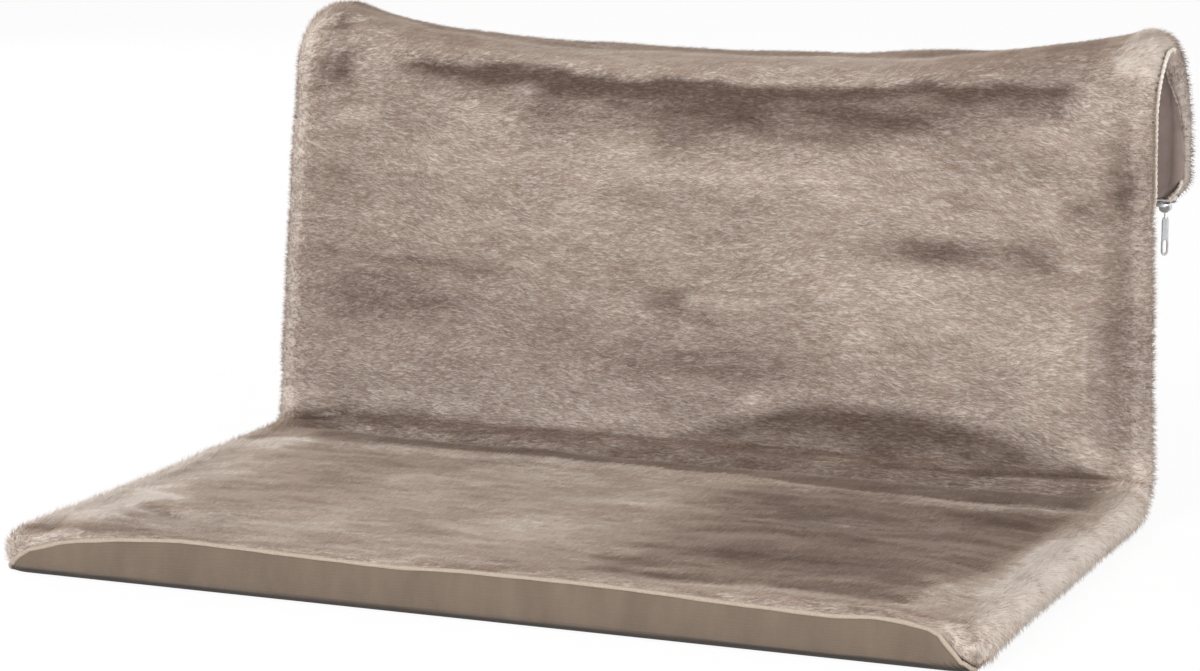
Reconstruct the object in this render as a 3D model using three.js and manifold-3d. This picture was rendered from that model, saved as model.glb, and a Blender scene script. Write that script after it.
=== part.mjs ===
// A cat hammock that hangs on a radiator: a bent steel tube frame inside a zipped sleeve of plush and lining.
// Millimetres, +Z up. The seat points to -Y, the hook goes over the radiator at +Y, and X runs across.
import * as THREE from "three";
import { mergeVertices } from "three/addons/utils/BufferGeometryUtils.js";
import Module from "manifold-3d";

const wasm = await Module();
wasm.setup();

// Overall sizes
const coverWidth = 460; // across the seat, outside the plush
const seatDepth = 275; // front of the seat to the middle of the back's tubes
const coverHeight = 230; // floor to the top of the hook
const flapDrop = 91; // top of the hook to the foot of its rear flap
const sideTaper = 7; // how far each side closes in from the seat to the hook
const backLean = THREE.MathUtils.degToRad(4);

// Steel tube of the frame
const tubeRadius = 5;
const tubeWall = 1;
const tightBend = 16; // centreline radius of the bends that a hand bender makes
const hookFrontBend = 30;
const hookTopRun = 4;
const hookRearBend = 46;

// Push joints of the frame
const neckLength = 25;
const neckShoulder = 8; // how deep the neck's root is pressed into its own tube
const neckPressed = 0.4; // bite of that root into the tube's wall
const neckBore = 2.6;
const seatJointAt = 110; // from the front bar to the joint in the seat's arm
const backJointShare = 0.5; // height of the upper joint, as a share of the straight back

// Screws
const jointScrewRadius = 1.5;
const jointScrewHeadRadius = 2.7;
const jointScrewHeadHeight = 1.7;
const barScrewRadius = 1.5;
const barScrewHeadRadius = 2.5;
const barScrewHeadHeight = 1.6;
const barScrewSunk = 0.7; // the head's face below the crown of the tube
const barScrewGrip = 12; // length inside the cross bar
const driveRadius = 1.1; // hexagon socket
const driveDepth = 0.9;
const crossBarRadius = 4;

// Cover and padding
const clearance = 0.3; // between pieces that touch
const plushThickness = 5;
const liningThickness = 1;
const seatPadThickness = 18;
const backPadThickness = 10;
const padEdgeGap = 9; // from the middle of a tube to the pad beside it
const padEnd = 8; // from a bend to the end of a pad
const padEdgeRadius = 4;
const padEdgeShare = 0.7; // of that radius taken off at the very edge
const padSideRamp = 38; // width over which the seat swells from tube to pad
const padRearRamp = 42; // likewise towards the crease
const frontCorner = 12; // of the sleeve at the front, in plan, at the middle of its roll
const footCornerCut = 6; // how far the sleeve's corners draw in at the foot of the flap
const footCornerRise = 6; // how far its hem rises there, clear of the ends of the zip
const footCornerWidth = 24; // over which it rises
const topSag = 16.5; // of the cloth between the two hooks
const topSagReach = 74; // along the sleeve, either side of the sag's middle
const backHollow = 3;
const seatHollow = 1.5;
const creaseDepth = 5.8; // how far the cloth sinks in front of the cross bar
const creaseReach = 22; // from where the seat starts to fall to the deepest line of the crease

// Seams
const weltRadius = 1.1;
const weltInset = 0.9; // middle of the welt below the plush's surface
const sideSeamAngle = THREE.MathUtils.degToRad(113.5); // round the tube, from the plush side
const frontSeamAngle = THREE.MathUtils.degToRad(30);
const frontSeamRunOut = 62; // width at each end over which the front seam falls to the corner
const frontSeamPower = 0.45; // lower keeps the seam high for longer and turns it down nearer the corner
const panelJoint = 26; // from the top of the straight back down to the joint of its plush panels

// Zip at the foot of the flap
const coilWidth = 2.2; // of each half of the closed zip
const coilThickness = 2;
const zipSlit = 0.8; // half the gap between the two rows, which the slider's post runs in
const zipDrop = 7.9; // middle of the teeth below the middle of the rear bar
const zipEndGap = 0.7; // from the middle of the side tube in to the end of the coils
const tapeThickness = 0.8;
const tapeTail = 2; // past the stops, where the two tapes meet
const stopLength = 2.4;
const sliderLength = 12;
const sliderWidth = 9.2;
const sliderPlate = 1.1;
const sliderFlange = 0.7;
const sliderPost = 1;
const sliderPostLength = 2.6;
const sliderRunning = 0.4; // gap between slider and zip
const lugHeight = 3.2;
const lugThickness = 1;
const lugLength = 3;
const lugGap = 2.8;
const lugShift = 3.5; // from the slider's middle towards its nose
const pinRadius = 0.55;
const knuckleRadius = 1.35;
const pullLength = 23;
const pullWidth = 4.8;
const pullThickness = 1.1;
const pullRim = 1.1;
const pullSlotShare = 0.3; // of the pull's length

// Facets
const tubeSides = 10;
const weltSides = 6;
const tightSteps = 4;
const wideSteps = 6;
const overrun = 1; // how far a cutting body passes the face that it cuts
const sameCorner = 1e-4; // corners nearer than this are one

const roll = tubeRadius + clearance + plushThickness; // outside radius of the plush round a tube
const rollInside = tubeRadius + clearance;
const liningRoll = rollInside + liningThickness;
const seatAxis = seatPadThickness / 2 + clearance + liningThickness; // height of the seat's tubes
const swell = seatPadThickness / 2 - tubeRadius; // how far the seat's pad stands above its tubes
const halfWidth = coverWidth / 2 - roll;
const rise = Math.PI / 2 - backLean;
const quarter = Math.PI / 2;
const hookAxis = coverHeight - roll;
const bendTangent = (radius) => radius * Math.tan(rise / 2);
const backLine = (hookAxis - seatAxis) / Math.cos(backLean);

// The side view of the frame as straight runs and bends, from the front bar to the rear bar
const stretches = [
  { name: "seat", length: seatDepth - roll - bendTangent(tightBend), turn: 0 },
  { name: "seatBend", length: tightBend * rise, turn: rise },
  { name: "back", length: backLine - bendTangent(tightBend) - bendTangent(hookFrontBend), turn: 0 },
  { name: "hookFront", length: hookFrontBend * rise, turn: -rise },
  { name: "hookTop", length: hookTopRun, turn: 0 },
  { name: "hookRear", length: hookRearBend * quarter, turn: -quarter },
  { name: "rearLeg", length: flapDrop - roll - hookRearBend - roll, turn: 0 },
];
const startOf = {};
let runTotal = 0;
for (const stretch of stretches) {
  startOf[stretch.name] = runTotal;
  runTotal += stretch.length;
}
const rearBarAt = runTotal;
const bendMiddle = (startOf.seatBend + startOf.back) / 2;
const backJointAt = startOf.back + (startOf.hookFront - startOf.back) * backJointShare;
const panelJointAt = startOf.hookFront - panelJoint;
const sagMiddle = (startOf.hookTop + startOf.hookRear) / 2;

// Place and heading of the frame's side view at a distance along it
function sideView(distance) {
  let y = roll - seatDepth;
  let z = seatAxis;
  let heading = 0;
  let left = distance;
  stretches.forEach((stretch, index) => {
    const last = index === stretches.length - 1;
    const along = last || left < 0 ? left : Math.min(left, stretch.length);
    if (stretch.turn === 0 || along < 0) {
      y += along * Math.cos(heading);
      z += along * Math.sin(heading);
    } else {
      const curve = stretch.turn / stretch.length;
      const next = heading + curve * along;
      y += (Math.sin(next) - Math.sin(heading)) / curve;
      z -= (Math.cos(next) - Math.cos(heading)) / curve;
      heading = next;
    }
    left = along < 0 ? 0 : left - along;
  });
  return { y, z, heading };
}

// The sleeve is drawn flat and then bent to the side view. across is X, along runs from the front bar to the
// rear bar, and above is the distance from the frame's middle plane to the plush side.
function bent(across, along, above) {
  const { y, z, heading } = sideView(along);
  const climbed = THREE.MathUtils.clamp((along - startOf.back) / (startOf.hookFront - startOf.back), 0, 1);
  const drawnIn = sideTaper * climbed * THREE.MathUtils.clamp(across / halfWidth, -1, 1);
  return new THREE.Vector3(
    across - drawnIn,
    y - above * Math.sin(heading),
    z + above * Math.cos(heading),
  );
}

// A rising list from the middle outwards, given both ways
function mirrored(half) {
  return [...half.slice(1).map((value) => -value).reverse(), ...half];
}

const smooth = (share) => THREE.MathUtils.smoothstep(share, 0, 1);

// Evenly spaced values from first to last
function steps(first, last, count) {
  return Array.from({ length: count + 1 }, (_, i) => THREE.MathUtils.lerp(first, last, i / count));
}

// Distances along the frame from first to last, with a value at each end of a run and several in each bend
function stations(first, last) {
  const found = [first];
  for (const stretch of stretches) {
    const from = startOf[stretch.name];
    const count = stretch.turn === 0 ? 1 : stretch.length > tightBend * rise ? wideSteps : tightSteps;
    for (const at of steps(from, from + stretch.length, count)) {
      if (at > found.at(-1) + clearance && at < last - clearance) found.push(at);
    }
  }
  return [...found, last];
}

// A line through given points with given headings, which a section can be swept along
class StationPath extends THREE.Curve {
  constructor(points) {
    super();
    this.points = points;
  }
  getPoint(share, target = new THREE.Vector3()) {
    const place = share * (this.points.length - 1);
    const before = Math.min(Math.floor(place), this.points.length - 2);
    return target.lerpVectors(this.points[before], this.points[before + 1], place - before);
  }
  getPointAt(share, target) {
    return this.getPoint(share, target);
  }
  getTangentAt(share, target = new THREE.Vector3()) {
    const at = Math.round(share * (this.points.length - 1));
    const before = this.points[Math.max(at - 1, 0)];
    const here = this.points[at];
    const after = this.points[Math.min(at + 1, this.points.length - 1)];
    const into = here.clone().sub(before).normalize();
    const out = after.clone().sub(here).normalize();
    return target.copy(into).add(out).normalize();
  }
}

function polygon(radius, sides, Kind = THREE.Shape) {
  const points = steps(0, 2 * Math.PI, sides).slice(0, -1);
  return new Kind(points.map((turn) => new THREE.Vector2(radius * Math.cos(turn), radius * Math.sin(turn))));
}

function sweep(points, radius, sides, bore = 0) {
  const section = polygon(radius, sides);
  if (bore > 0) section.holes.push(polygon(bore, sides, THREE.Path));
  return new THREE.ExtrudeGeometry(section, {
    steps: points.length - 1,
    bevelEnabled: false,
    extrudePath: new StationPath(points),
  });
}

// Solids for cutting and joining
function solid(geometry) {
  const bare = geometry.index ? geometry.toNonIndexed() : geometry.clone();
  bare.deleteAttribute("normal");
  bare.deleteAttribute("uv");
  const merged = mergeVertices(bare, sameCorner);
  return new wasm.Manifold(
    new wasm.Mesh({
      numProp: 3,
      vertProperties: merged.attributes.position.array,
      triVerts: new Uint32Array(merged.index.array),
    }),
  );
}

function geometryOf(body) {
  const mesh = body.getMesh();
  const geometry = new THREE.BufferGeometry();
  geometry.setAttribute("position", new THREE.BufferAttribute(mesh.vertProperties, mesh.numProp));
  geometry.setIndex(new THREE.BufferAttribute(mesh.triVerts, 1));
  geometry.computeVertexNormals();
  return geometry;
}

// A cylinder between two points
function rod(from, to, radius, sides) {
  const axis = to.clone().sub(from);
  const geometry = new THREE.CylinderGeometry(radius, radius, axis.length(), sides);
  const turn = new THREE.Quaternion().setFromUnitVectors(THREE.Object3D.DEFAULT_UP, axis.clone().normalize());
  geometry.applyQuaternion(turn);
  geometry.translate(...from.clone().add(to).divideScalar(2).toArray());
  return geometry;
}

function block(low, high) {
  const geometry = new THREE.BoxGeometry(...low.map((value, i) => high[i] - value));
  geometry.translate(...low.map((value, i) => (value + high[i]) / 2));
  return geometry;
}

// A sheet with thickness: face(i, j) and back(i, j) give its two sides over a grid
function sheet(columns, rows, face, back) {
  const places = [];
  for (const side of [face, back]) {
    for (const row of rows) for (const column of columns) places.push(...side(column, row).toArray());
  }
  const wide = columns.length;
  const offset = wide * rows.length;
  const index = [];
  const quad = (a, b, c, d) => index.push(a, b, c, a, c, d);
  for (let j = 0; j < rows.length - 1; j++) {
    for (let i = 0; i < wide - 1; i++) {
      const at = j * wide + i;
      quad(at, at + 1, at + wide + 1, at + wide);
      quad(offset + at, offset + at + wide, offset + at + wide + 1, offset + at + 1);
    }
  }
  for (let i = 0; i < wide - 1; i++) {
    const last = (rows.length - 1) * wide + i;
    quad(i, offset + i, offset + i + 1, i + 1);
    quad(last + 1, offset + last + 1, offset + last, last);
  }
  for (let j = 0; j < rows.length - 1; j++) {
    const first = j * wide;
    const last = first + wide - 1;
    quad(first + wide, offset + first + wide, offset + first, first);
    quad(last, offset + last, offset + last + wide, last + wide);
  }
  const geometry = new THREE.BufferGeometry();
  geometry.setAttribute("position", new THREE.Float32BufferAttribute(places, 3));
  geometry.setIndex(index);
  geometry.computeVertexNormals();
  return geometry;
}

// Materials
const finish = (color, roughness, metalness = 0) =>
  new THREE.MeshStandardMaterial({ color, roughness, metalness });
const plush = finish(0x9d8b7e, 0.95);
const lining = finish(0x84735f, 0.85);
const weltCord = finish(0xbcae9c, 0.9);
const foam = finish(0xe9e4d8, 0.9);
const paintedSteel = finish(0x2b2c2e, 0.45, 0.6);
const zincSteel = finish(0xb9bcc0, 0.35, 0.9);
const zipPlastic = finish(0x8a7a6a, 0.6);
const zipTape = finish(0x94836f, 0.85);
const nickel = finish(0xc6c8cb, 0.25, 1);

const part = new THREE.Group();

function add(name, geometry, material, parent = part) {
  const mesh = new THREE.Mesh(geometry, material);
  mesh.name = name;
  parent.add(mesh);
  return mesh;
}

// Frame: points on the middle of the tube, along one side and round a corner of the flat loop
const onSide = (side, first, last) => stations(first, last).map((along) => bent(side * halfWidth, along, 0));

function corner(side, barAt, outward) {
  return steps(0, quarter, tightSteps).map((turn) =>
    bent(
      side * (halfWidth - tightBend + tightBend * Math.cos(turn)),
      barAt - outward * tightBend * (1 - Math.sin(turn)),
      0,
    ),
  );
}

// The neck of a push joint: its root bites into its own tube, and the rest slides into the next one
function neck(side, jointAt, direction) {
  const place = (distance) => bent(side * halfWidth, jointAt + direction * distance, 0);
  const root = rod(place(-neckShoulder), place(0), tubeRadius - tubeWall + neckPressed, tubeSides);
  const tongue = rod(
    place(-neckShoulder / 2),
    place(neckLength),
    tubeRadius - tubeWall - clearance,
    tubeSides,
  );
  const bore = rod(place(-neckShoulder - overrun), place(neckLength + overrun), neckBore, tubeSides);
  return solid(root).add(solid(tongue)).subtract(solid(bore));
}

// A joint screw goes in from the side that faces the middle of the hammock
const screwLine = (side, along) => (depth) => bent(side * (halfWidth - depth), along, 0);

function jointScrewHole(side, along) {
  const place = screwLine(side, along);
  return solid(rod(place(tubeRadius + overrun), place(0), jointScrewRadius + clearance, tubeSides));
}

function jointScrew(side, along) {
  const place = screwLine(side, along);
  const seat = tubeRadius + clearance;
  const top = seat + jointScrewHeadHeight;
  const head = rod(place(seat), place(top), jointScrewHeadRadius, tubeSides);
  const shank = rod(place(clearance), place(seat + overrun), jointScrewRadius, tubeSides);
  const drive = rod(place(top - driveDepth), place(top + overrun), driveRadius, weltSides);
  return geometryOf(solid(head).add(solid(shank)).subtract(solid(drive)));
}

const seatScrewAt = seatJointAt + neckLength / 2;
const backScrewAt = backJointAt - neckLength / 2;

// Front tube: the front bar and the two arms of the seat
const frontLoop = [
  bent(-halfWidth, seatJointAt, 0),
  ...corner(-1, 0, -1),
  ...corner(1, 0, -1).reverse(),
  bent(halfWidth, seatJointAt, 0),
];
let frontTube = solid(sweep(frontLoop, tubeRadius, tubeSides, tubeRadius - tubeWall));
for (const side of [-1, 1]) {
  frontTube = frontTube.add(neck(side, seatJointAt, 1)).subtract(jointScrewHole(side, seatScrewAt));
}
add("front_frame_tube", geometryOf(frontTube), paintedSteel);

// Hook tube: both hooks and the rear bar in one bent length
const hookLoop = [
  ...onSide(-1, backJointAt, rearBarAt - tightBend),
  ...corner(-1, rearBarAt, 1).slice(1),
  ...corner(1, rearBarAt, 1).slice(1).reverse(),
  ...onSide(1, backJointAt, rearBarAt - tightBend).reverse(),
];
let hookTube = solid(sweep(hookLoop, tubeRadius, tubeSides, tubeRadius - tubeWall));
for (const side of [-1, 1]) {
  hookTube = hookTube.add(neck(side, backJointAt, -1)).subtract(jointScrewHole(side, backScrewAt));
}
add("hook_frame_tube", geometryOf(hookTube), paintedSteel);

// Elbow tubes: from the seat's arm round the crease and up the back
for (const [side, name] of [[-1, "left"], [1, "right"]]) {
  const line = onSide(side, seatJointAt + clearance, backJointAt - clearance);
  const inwards = halfWidth - tubeRadius - overrun;
  const barHole = rod(
    bent(side * inwards, bendMiddle, 0),
    bent(side * (halfWidth + tubeRadius), bendMiddle, 0),
    barScrewRadius + clearance,
    tubeSides,
  );
  const headSeat = halfWidth + tubeRadius - barScrewSunk - barScrewHeadHeight - clearance;
  const headHole = rod(
    bent(side * headSeat, bendMiddle, 0),
    bent(side * (halfWidth + tubeRadius + overrun), bendMiddle, 0),
    barScrewHeadRadius + clearance,
    tubeSides,
  );
  const elbow = solid(sweep(line, tubeRadius, tubeSides, tubeRadius - tubeWall))
    .subtract(jointScrewHole(side, seatScrewAt))
    .subtract(jointScrewHole(side, backScrewAt))
    .subtract(solid(barHole))
    .subtract(solid(headHole));
  add(`${name}_elbow_tube`, geometryOf(elbow), paintedSteel);
  add(`${name}_seat_joint_screw`, jointScrew(side, seatScrewAt), zincSteel);
  add(`${name}_back_joint_screw`, jointScrew(side, backScrewAt), zincSteel);
}

// Cross bar at the crease, with a screw into each end
const crossBarEnd = halfWidth - tubeRadius - clearance;
let crossBar = solid(
  rod(bent(-crossBarEnd, bendMiddle, 0), bent(crossBarEnd, bendMiddle, 0), crossBarRadius, tubeSides),
);
for (const [side, name] of [[-1, "left"], [1, "right"]]) {
  const place = (across) => bent(side * across, bendMiddle, 0);
  const headFace = halfWidth + tubeRadius - barScrewSunk;
  const headBack = headFace - barScrewHeadHeight;
  const tip = crossBarEnd - barScrewGrip;
  const hole = rod(place(tip - overrun), place(crossBarEnd + overrun), barScrewRadius + clearance, tubeSides);
  crossBar = crossBar.subtract(solid(hole));
  const head = solid(rod(place(headBack), place(headFace), barScrewHeadRadius, tubeSides));
  const shank = solid(rod(place(tip), place(headBack + overrun / 2), barScrewRadius, tubeSides));
  const drive = solid(rod(place(headFace - driveDepth), place(headFace + overrun), driveRadius, weltSides));
  add(`${name}_bar_screw`, geometryOf(head.add(shank).subtract(drive)), zincSteel);
}
add("crease_cross_bar", geometryOf(crossBar), paintedSteel);

// How far the cloth stands off the frame's plane, beyond its height over a tube
const insideTubes = (across) => Math.min(Math.abs(across) / (halfWidth - tubeRadius), 1);

function seatSwell(across, along) {
  const fromSide = smooth((halfWidth - Math.abs(across)) / padSideRamp);
  const fromCrease = smooth((startOf.seatBend - padEnd - along) / padRearRamp);
  return swell * fromSide * fromCrease;
}

function seatDip(across, along) {
  const share = THREE.MathUtils.clamp(along / startOf.seatBend, 0, 1);
  return seatHollow * (1 - insideTubes(across) ** 2) * Math.sin(Math.PI * share);
}

function backDip(across, along) {
  const share = THREE.MathUtils.clamp((along - startOf.back) / (panelJointAt - startOf.back), 0, 1);
  return backHollow * (1 - insideTubes(across) ** 2) * Math.sin(Math.PI * share);
}

function hookSag(across, along) {
  const share = Math.abs(along - sagMiddle) / topSagReach;
  return topSag * (1 - insideTubes(across) ** 2) * smooth(1 - share);
}

function creaseSink(across, along) {
  const fromSide = smooth((halfWidth - Math.abs(across)) / padSideRamp);
  const falling = smooth((along - startOf.seatBend + creaseReach) / creaseReach);
  const rising = smooth((along - startOf.seatBend) / (bendMiddle - startOf.seatBend));
  return creaseDepth * fromSide * falling * (1 - rising);
}

function plushLift(across, along) {
  const sunk = seatDip(across, along) + creaseSink(across, along) + backDip(across, along) + hookSag(across, along);
  return seatSwell(across, along) - sunk;
}

// Edges of the sleeve. A column or row past the tubes is an angle round them, counted as turnUnit per radian.
const turnUnit = roll;
const seamHalf = (weltRadius + clearance) / roll; // half the angle that the welt's groove takes
const acrossRound = (side, angle) => side * (halfWidth + turnUnit * angle);
const plushEdge = sideSeamAngle - seamHalf;
const liningEdge = Math.PI - sideSeamAngle - seamHalf;

const rollSteps = 3;
const acrossShares = [0, 0.35, 0.65, 0.86, 1]; // columns from the middle out to the front corner's start
const innerColumns = mirrored(acrossShares.map((share) => share * (halfWidth - frontCorner)));
function columnsTo(edgeAngle) {
  const corner = [halfWidth - tubeRadius, halfWidth];
  const rolled = steps(0, edgeAngle, rollSteps).slice(1);
  const outer = [...corner, ...rolled.map((angle) => acrossRound(1, angle))];
  return [...outer.map((across) => -across).reverse(), ...innerColumns, ...outer];
}

// The front seam runs along the top of the front and falls to the side seam's angle at each corner
function frontSeam(across) {
  const fromEnd = (halfWidth - Math.abs(across)) / frontSeamRunOut;
  return THREE.MathUtils.lerp(sideSeamAngle, frontSeamAngle, smooth(fromEnd) ** frontSeamPower);
}

// Room on each side of the front welt, wider where its seam falls to the corner
const frontRoomShare = 2.3;
const frontHalf = (across) => seamHalf * (Math.abs(across) > halfWidth ? 1 : frontRoomShare);

// Plan place of a point that may lie round the side tubes, the front bar or a front corner between them
function rim(across, along, reach) {
  const pastSide = Math.max(Math.abs(across) - halfWidth + frontCorner, 0);
  const pastFront = Math.max(frontCorner - along, 0);
  const past = Math.max(pastSide, pastFront);
  const angle = Math.max(past - frontCorner, 0) / turnUnit;
  const distance = Math.min(past, frontCorner) + reach(angle) * Math.sin(angle);
  const length = Math.hypot(pastSide, pastFront) || 1;
  return {
    angle,
    across: Math.sign(across) * (Math.min(Math.abs(across), halfWidth - frontCorner) + (distance * pastSide) / length),
    along: Math.max(along, frontCorner) - (distance * pastFront) / length,
  };
}

function seatPlushSide(radius) {
  return (across, along) => {
    const front = along < 0 ? (along * (frontSeam(across) - frontHalf(across))) / plushEdge : along;
    const edge = rim(across, front, () => radius);
    const height = (radius + plushLift(across, Math.max(along, 0))) * Math.cos(edge.angle);
    return bent(edge.across, edge.along, height);
  };
}

// How far the sleeve's corners draw in towards the foot of the flap
const footDraw = (along) => footCornerCut * smooth((along - rearBarAt + tightBend) / (tightBend + roll)) ** 2;

// How far its hem is above the foot, towards the corners
function footRise(across, along) {
  const toCorner = smooth((Math.abs(across) - halfWidth + footCornerWidth) / footCornerWidth);
  return footCornerRise * toCorner * smooth((along - rearBarAt + tightBend) / (tightBend + roll));
}

// Angle round the side tube, and place across, of a point on the sleeve behind the seat
const rolledAngle = (across) => Math.max(Math.abs(across) - halfWidth, 0) / turnUnit;
function rolledAcross(across, along, radius) {
  const inside = Math.min(Math.abs(across), halfWidth) * (1 - footDraw(along) / halfWidth);
  return Math.sign(across) * (inside + radius * Math.sin(rolledAngle(across)));
}

function plushSide(radius) {
  return (across, along) => {
    const height = radius * Math.cos(rolledAngle(across)) + plushLift(across, along);
    return bent(rolledAcross(across, along, radius), along - footRise(across, along), height);
  };
}

const hemEnd = rearBarAt + roll;
const plushColumns = columnsTo(plushEdge);
const rampStart = startOf.seatBend - padEnd - padRearRamp;
const seatRun = [
  ...steps(0, frontCorner, 2),
  ...steps(frontCorner, rampStart, 4).slice(1),
  ...steps(rampStart, startOf.seatBend - padEnd, 3).slice(1),
  startOf.seatBend,
];
const creaseRows = [(startOf.seatBend + bendMiddle) / 2, bendMiddle - clearance / 2];
const seatRows = [...steps(-turnUnit * plushEdge, 0, rollSteps), ...seatRun.slice(1), ...creaseRows];
const seatPlush = sheet(plushColumns, seatRows, seatPlushSide(roll), seatPlushSide(rollInside));
add("seat_plush_panel", seatPlush, plush);

const backRun = steps(startOf.back, panelJointAt - clearance / 2, 5);
const backRows = [
  bendMiddle + clearance / 2,
  (bendMiddle + startOf.back) / 2,
  ...backRun,
];
add("back_plush_panel", sheet(plushColumns, backRows, plushSide(roll), plushSide(rollInside)), plush);

const hookRun = [
  ...steps(startOf.hookFront, startOf.hookTop, wideSteps),
  ...steps(startOf.hookRear, startOf.rearLeg, wideSteps),
  ...steps(rearBarAt - tightBend, hemEnd, 4),
];
const hookRows = [
  panelJointAt + clearance / 2,
  (panelJointAt + startOf.hookFront) / 2,
  ...hookRun,
];
add("hook_plush_panel", sheet(plushColumns, hookRows, plushSide(roll), plushSide(rollInside)), plush);

// Lining: flat under the seat and behind the back, and its edge widens from the tube out to the seam
function liningDepth(across, along) {
  const fromSide = smooth((halfWidth - Math.abs(across)) / padSideRamp);
  const roundBend = smooth((bendMiddle - along) / (bendMiddle - startOf.seatBend));
  return liningRoll + swell * fromSide * roundBend;
}

function liningSide(inset) {
  return (across, along) => {
    const angle = rolledAngle(across);
    const radius = THREE.MathUtils.lerp(liningRoll, roll, angle / liningEdge) - inset;
    const depth = radius * Math.cos(angle) + hookSag(across, along);
    return bent(rolledAcross(across, along, radius), along - footRise(across, along), -depth);
  };
}

function seatLiningSide(inset) {
  return (across, along) => {
    const round = Math.PI - frontSeam(across) - frontHalf(across); // angle from the underside up to the front seam
    const front = along < 0 ? (along * round) / liningEdge : along;
    const depth = liningDepth(across, Math.max(along, 0));
    const reach = (angle) => THREE.MathUtils.lerp(depth, roll, Math.min(angle / liningEdge, 1)) - inset;
    const edge = rim(across, front, reach);
    const top = roll + plushLift(across, 0) - inset;
    const height = -Math.cos(edge.angle) * (edge.angle < quarter ? reach(edge.angle) : top);
    return bent(edge.across, edge.along, height);
  };
}

const liningColumns = columnsTo(liningEdge);
const liningRows = [...steps(-turnUnit * liningEdge, 0, wideSteps), ...seatRun.slice(1), ...creaseRows];
add("seat_lining_panel", sheet(liningColumns, liningRows, seatLiningSide(liningThickness), seatLiningSide(0)), lining);

const backLiningRows = [
  ...steps(bendMiddle + clearance / 2, startOf.back, 2),
  sagMiddle - topSagReach - clearance,
];
add("back_lining_panel", sheet(liningColumns, backLiningRows, liningSide(liningThickness), liningSide(0)), lining);

const hookLiningRows = [
  sagMiddle - topSagReach,
  (sagMiddle - topSagReach + startOf.hookFront) / 2,
  ...hookRun,
];
add("hook_lining_panel", sheet(liningColumns, hookLiningRows, liningSide(liningThickness), liningSide(0)), lining);

// Welts in the seams between plush and lining
const weltRing = roll - weltInset;
function sideWelt(side) {
  const run = stations(frontCorner + clearance, hemEnd - weltRadius).map((along) => {
    const across = halfWidth - footDraw(along) + weltRing * Math.sin(sideSeamAngle);
    return bent(side * across, along - footRise(halfWidth, along), weltRing * Math.cos(sideSeamAngle));
  });
  return sweep(run, weltRadius, weltSides);
}
add("left_side_welt", sideWelt(-1), weltCord);
add("right_side_welt", sideWelt(1), weltCord);

// The front welt follows the front seam, and then the side seam round the corner
function weltPoint(across, along) {
  const edge = rim(across, along, () => weltRing);
  const height = (weltRing + plushLift(across, 0)) * Math.cos(edge.angle);
  return bent(edge.across, edge.along, height);
}
const frontStops = columnsTo(sideSeamAngle).filter((across) => across >= 0);
const cornerStops = [...steps(-turnUnit * sideSeamAngle, 0, rollSteps), ...steps(0, frontCorner, 2).slice(1)];
function weltHalf(side) {
  return [
    ...frontStops.map((across) => weltPoint(side * across, -turnUnit * frontSeam(across))),
    ...cornerStops.slice(1).map((along) => weltPoint(side * acrossRound(1, sideSeamAngle), along)),
  ];
}
const weltLine = [...weltHalf(-1).slice(1).reverse(), ...weltHalf(1)];
add("front_welt", sweep(weltLine, weltRadius, weltSides), weltCord);

// Foam pad of the seat and wadding of the back, between the tubes
function pad(run, first, last, top, bottom) {
  const reach = halfWidth - padEdgeGap;
  const columns = [-reach, ...innerColumns, reach];
  const inside = run.filter((along) => along > first + padEdgeRadius && along < last - padEdgeRadius);
  const rows = [first, ...inside, last];
  const rounded = (across, along) => {
    const edge = Math.min(reach - Math.abs(across), along - first, last - along) / padEdgeRadius;
    return padEdgeRadius * (1 - Math.sqrt(1 - (1 - Math.min(edge, 1)) ** 2)) * padEdgeShare;
  };
  return sheet(
    columns,
    rows,
    (across, along) => bent(across, along, top(across, along) - rounded(across, along)),
    (across, along) => bent(across, along, -bottom(across, along) + rounded(across, along)),
  );
}
add(
  "seat_foam_pad",
  pad(
    seatRun,
    padEdgeGap,
    startOf.seatBend - padEnd,
    (across, along) => tubeRadius + plushLift(across, along),
    (across, along) => liningDepth(across, along) - liningThickness - clearance,
  ),
  foam,
);
add(
  "back_wadding",
  pad(
    backRun,
    startOf.back + padEnd,
    panelJointAt - padEnd,
    (across, along) => backPadThickness / 2 - backDip(across, along) - hookSag(across, along),
    (across, along) => backPadThickness / 2 + hookSag(across, along),
  ),
  foam,
);

// Zip in the foot of the flap, drawn about the middle of the rear bar: X across, Y to the plush side, Z up
const foot = sideView(rearBarAt);
const zip = new THREE.Group();
zip.position.set(0, foot.y, foot.z);
part.add(zip);

const footHalf = halfWidth - sideTaper;
const zipHalf = footHalf - zipEndGap;
const coilOuter = zipSlit + coilWidth;

// One half of the zip's closed coil, whose edges are rounded over by a bevel
function coilRow(side) {
  const bevel = coilThickness / 4;
  const outline = new THREE.Shape();
  outline.moveTo(side * (zipSlit + bevel), -coilThickness / 2 + bevel);
  outline.lineTo(side * (coilOuter - bevel), -coilThickness / 2 + bevel);
  outline.lineTo(side * (coilOuter - bevel), coilThickness / 2 - bevel);
  outline.lineTo(side * (zipSlit + bevel), coilThickness / 2 - bevel);
  const geometry = new THREE.ExtrudeGeometry(outline, {
    depth: 2 * (zipHalf - bevel),
    bevelThickness: bevel,
    bevelSize: bevel,
    bevelSegments: 1,
  });
  geometry.translate(0, 0, bevel - zipHalf);
  geometry.rotateX(quarter);
  geometry.rotateZ(quarter);
  geometry.translate(0, 0, -zipDrop);
  return geometry;
}

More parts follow.
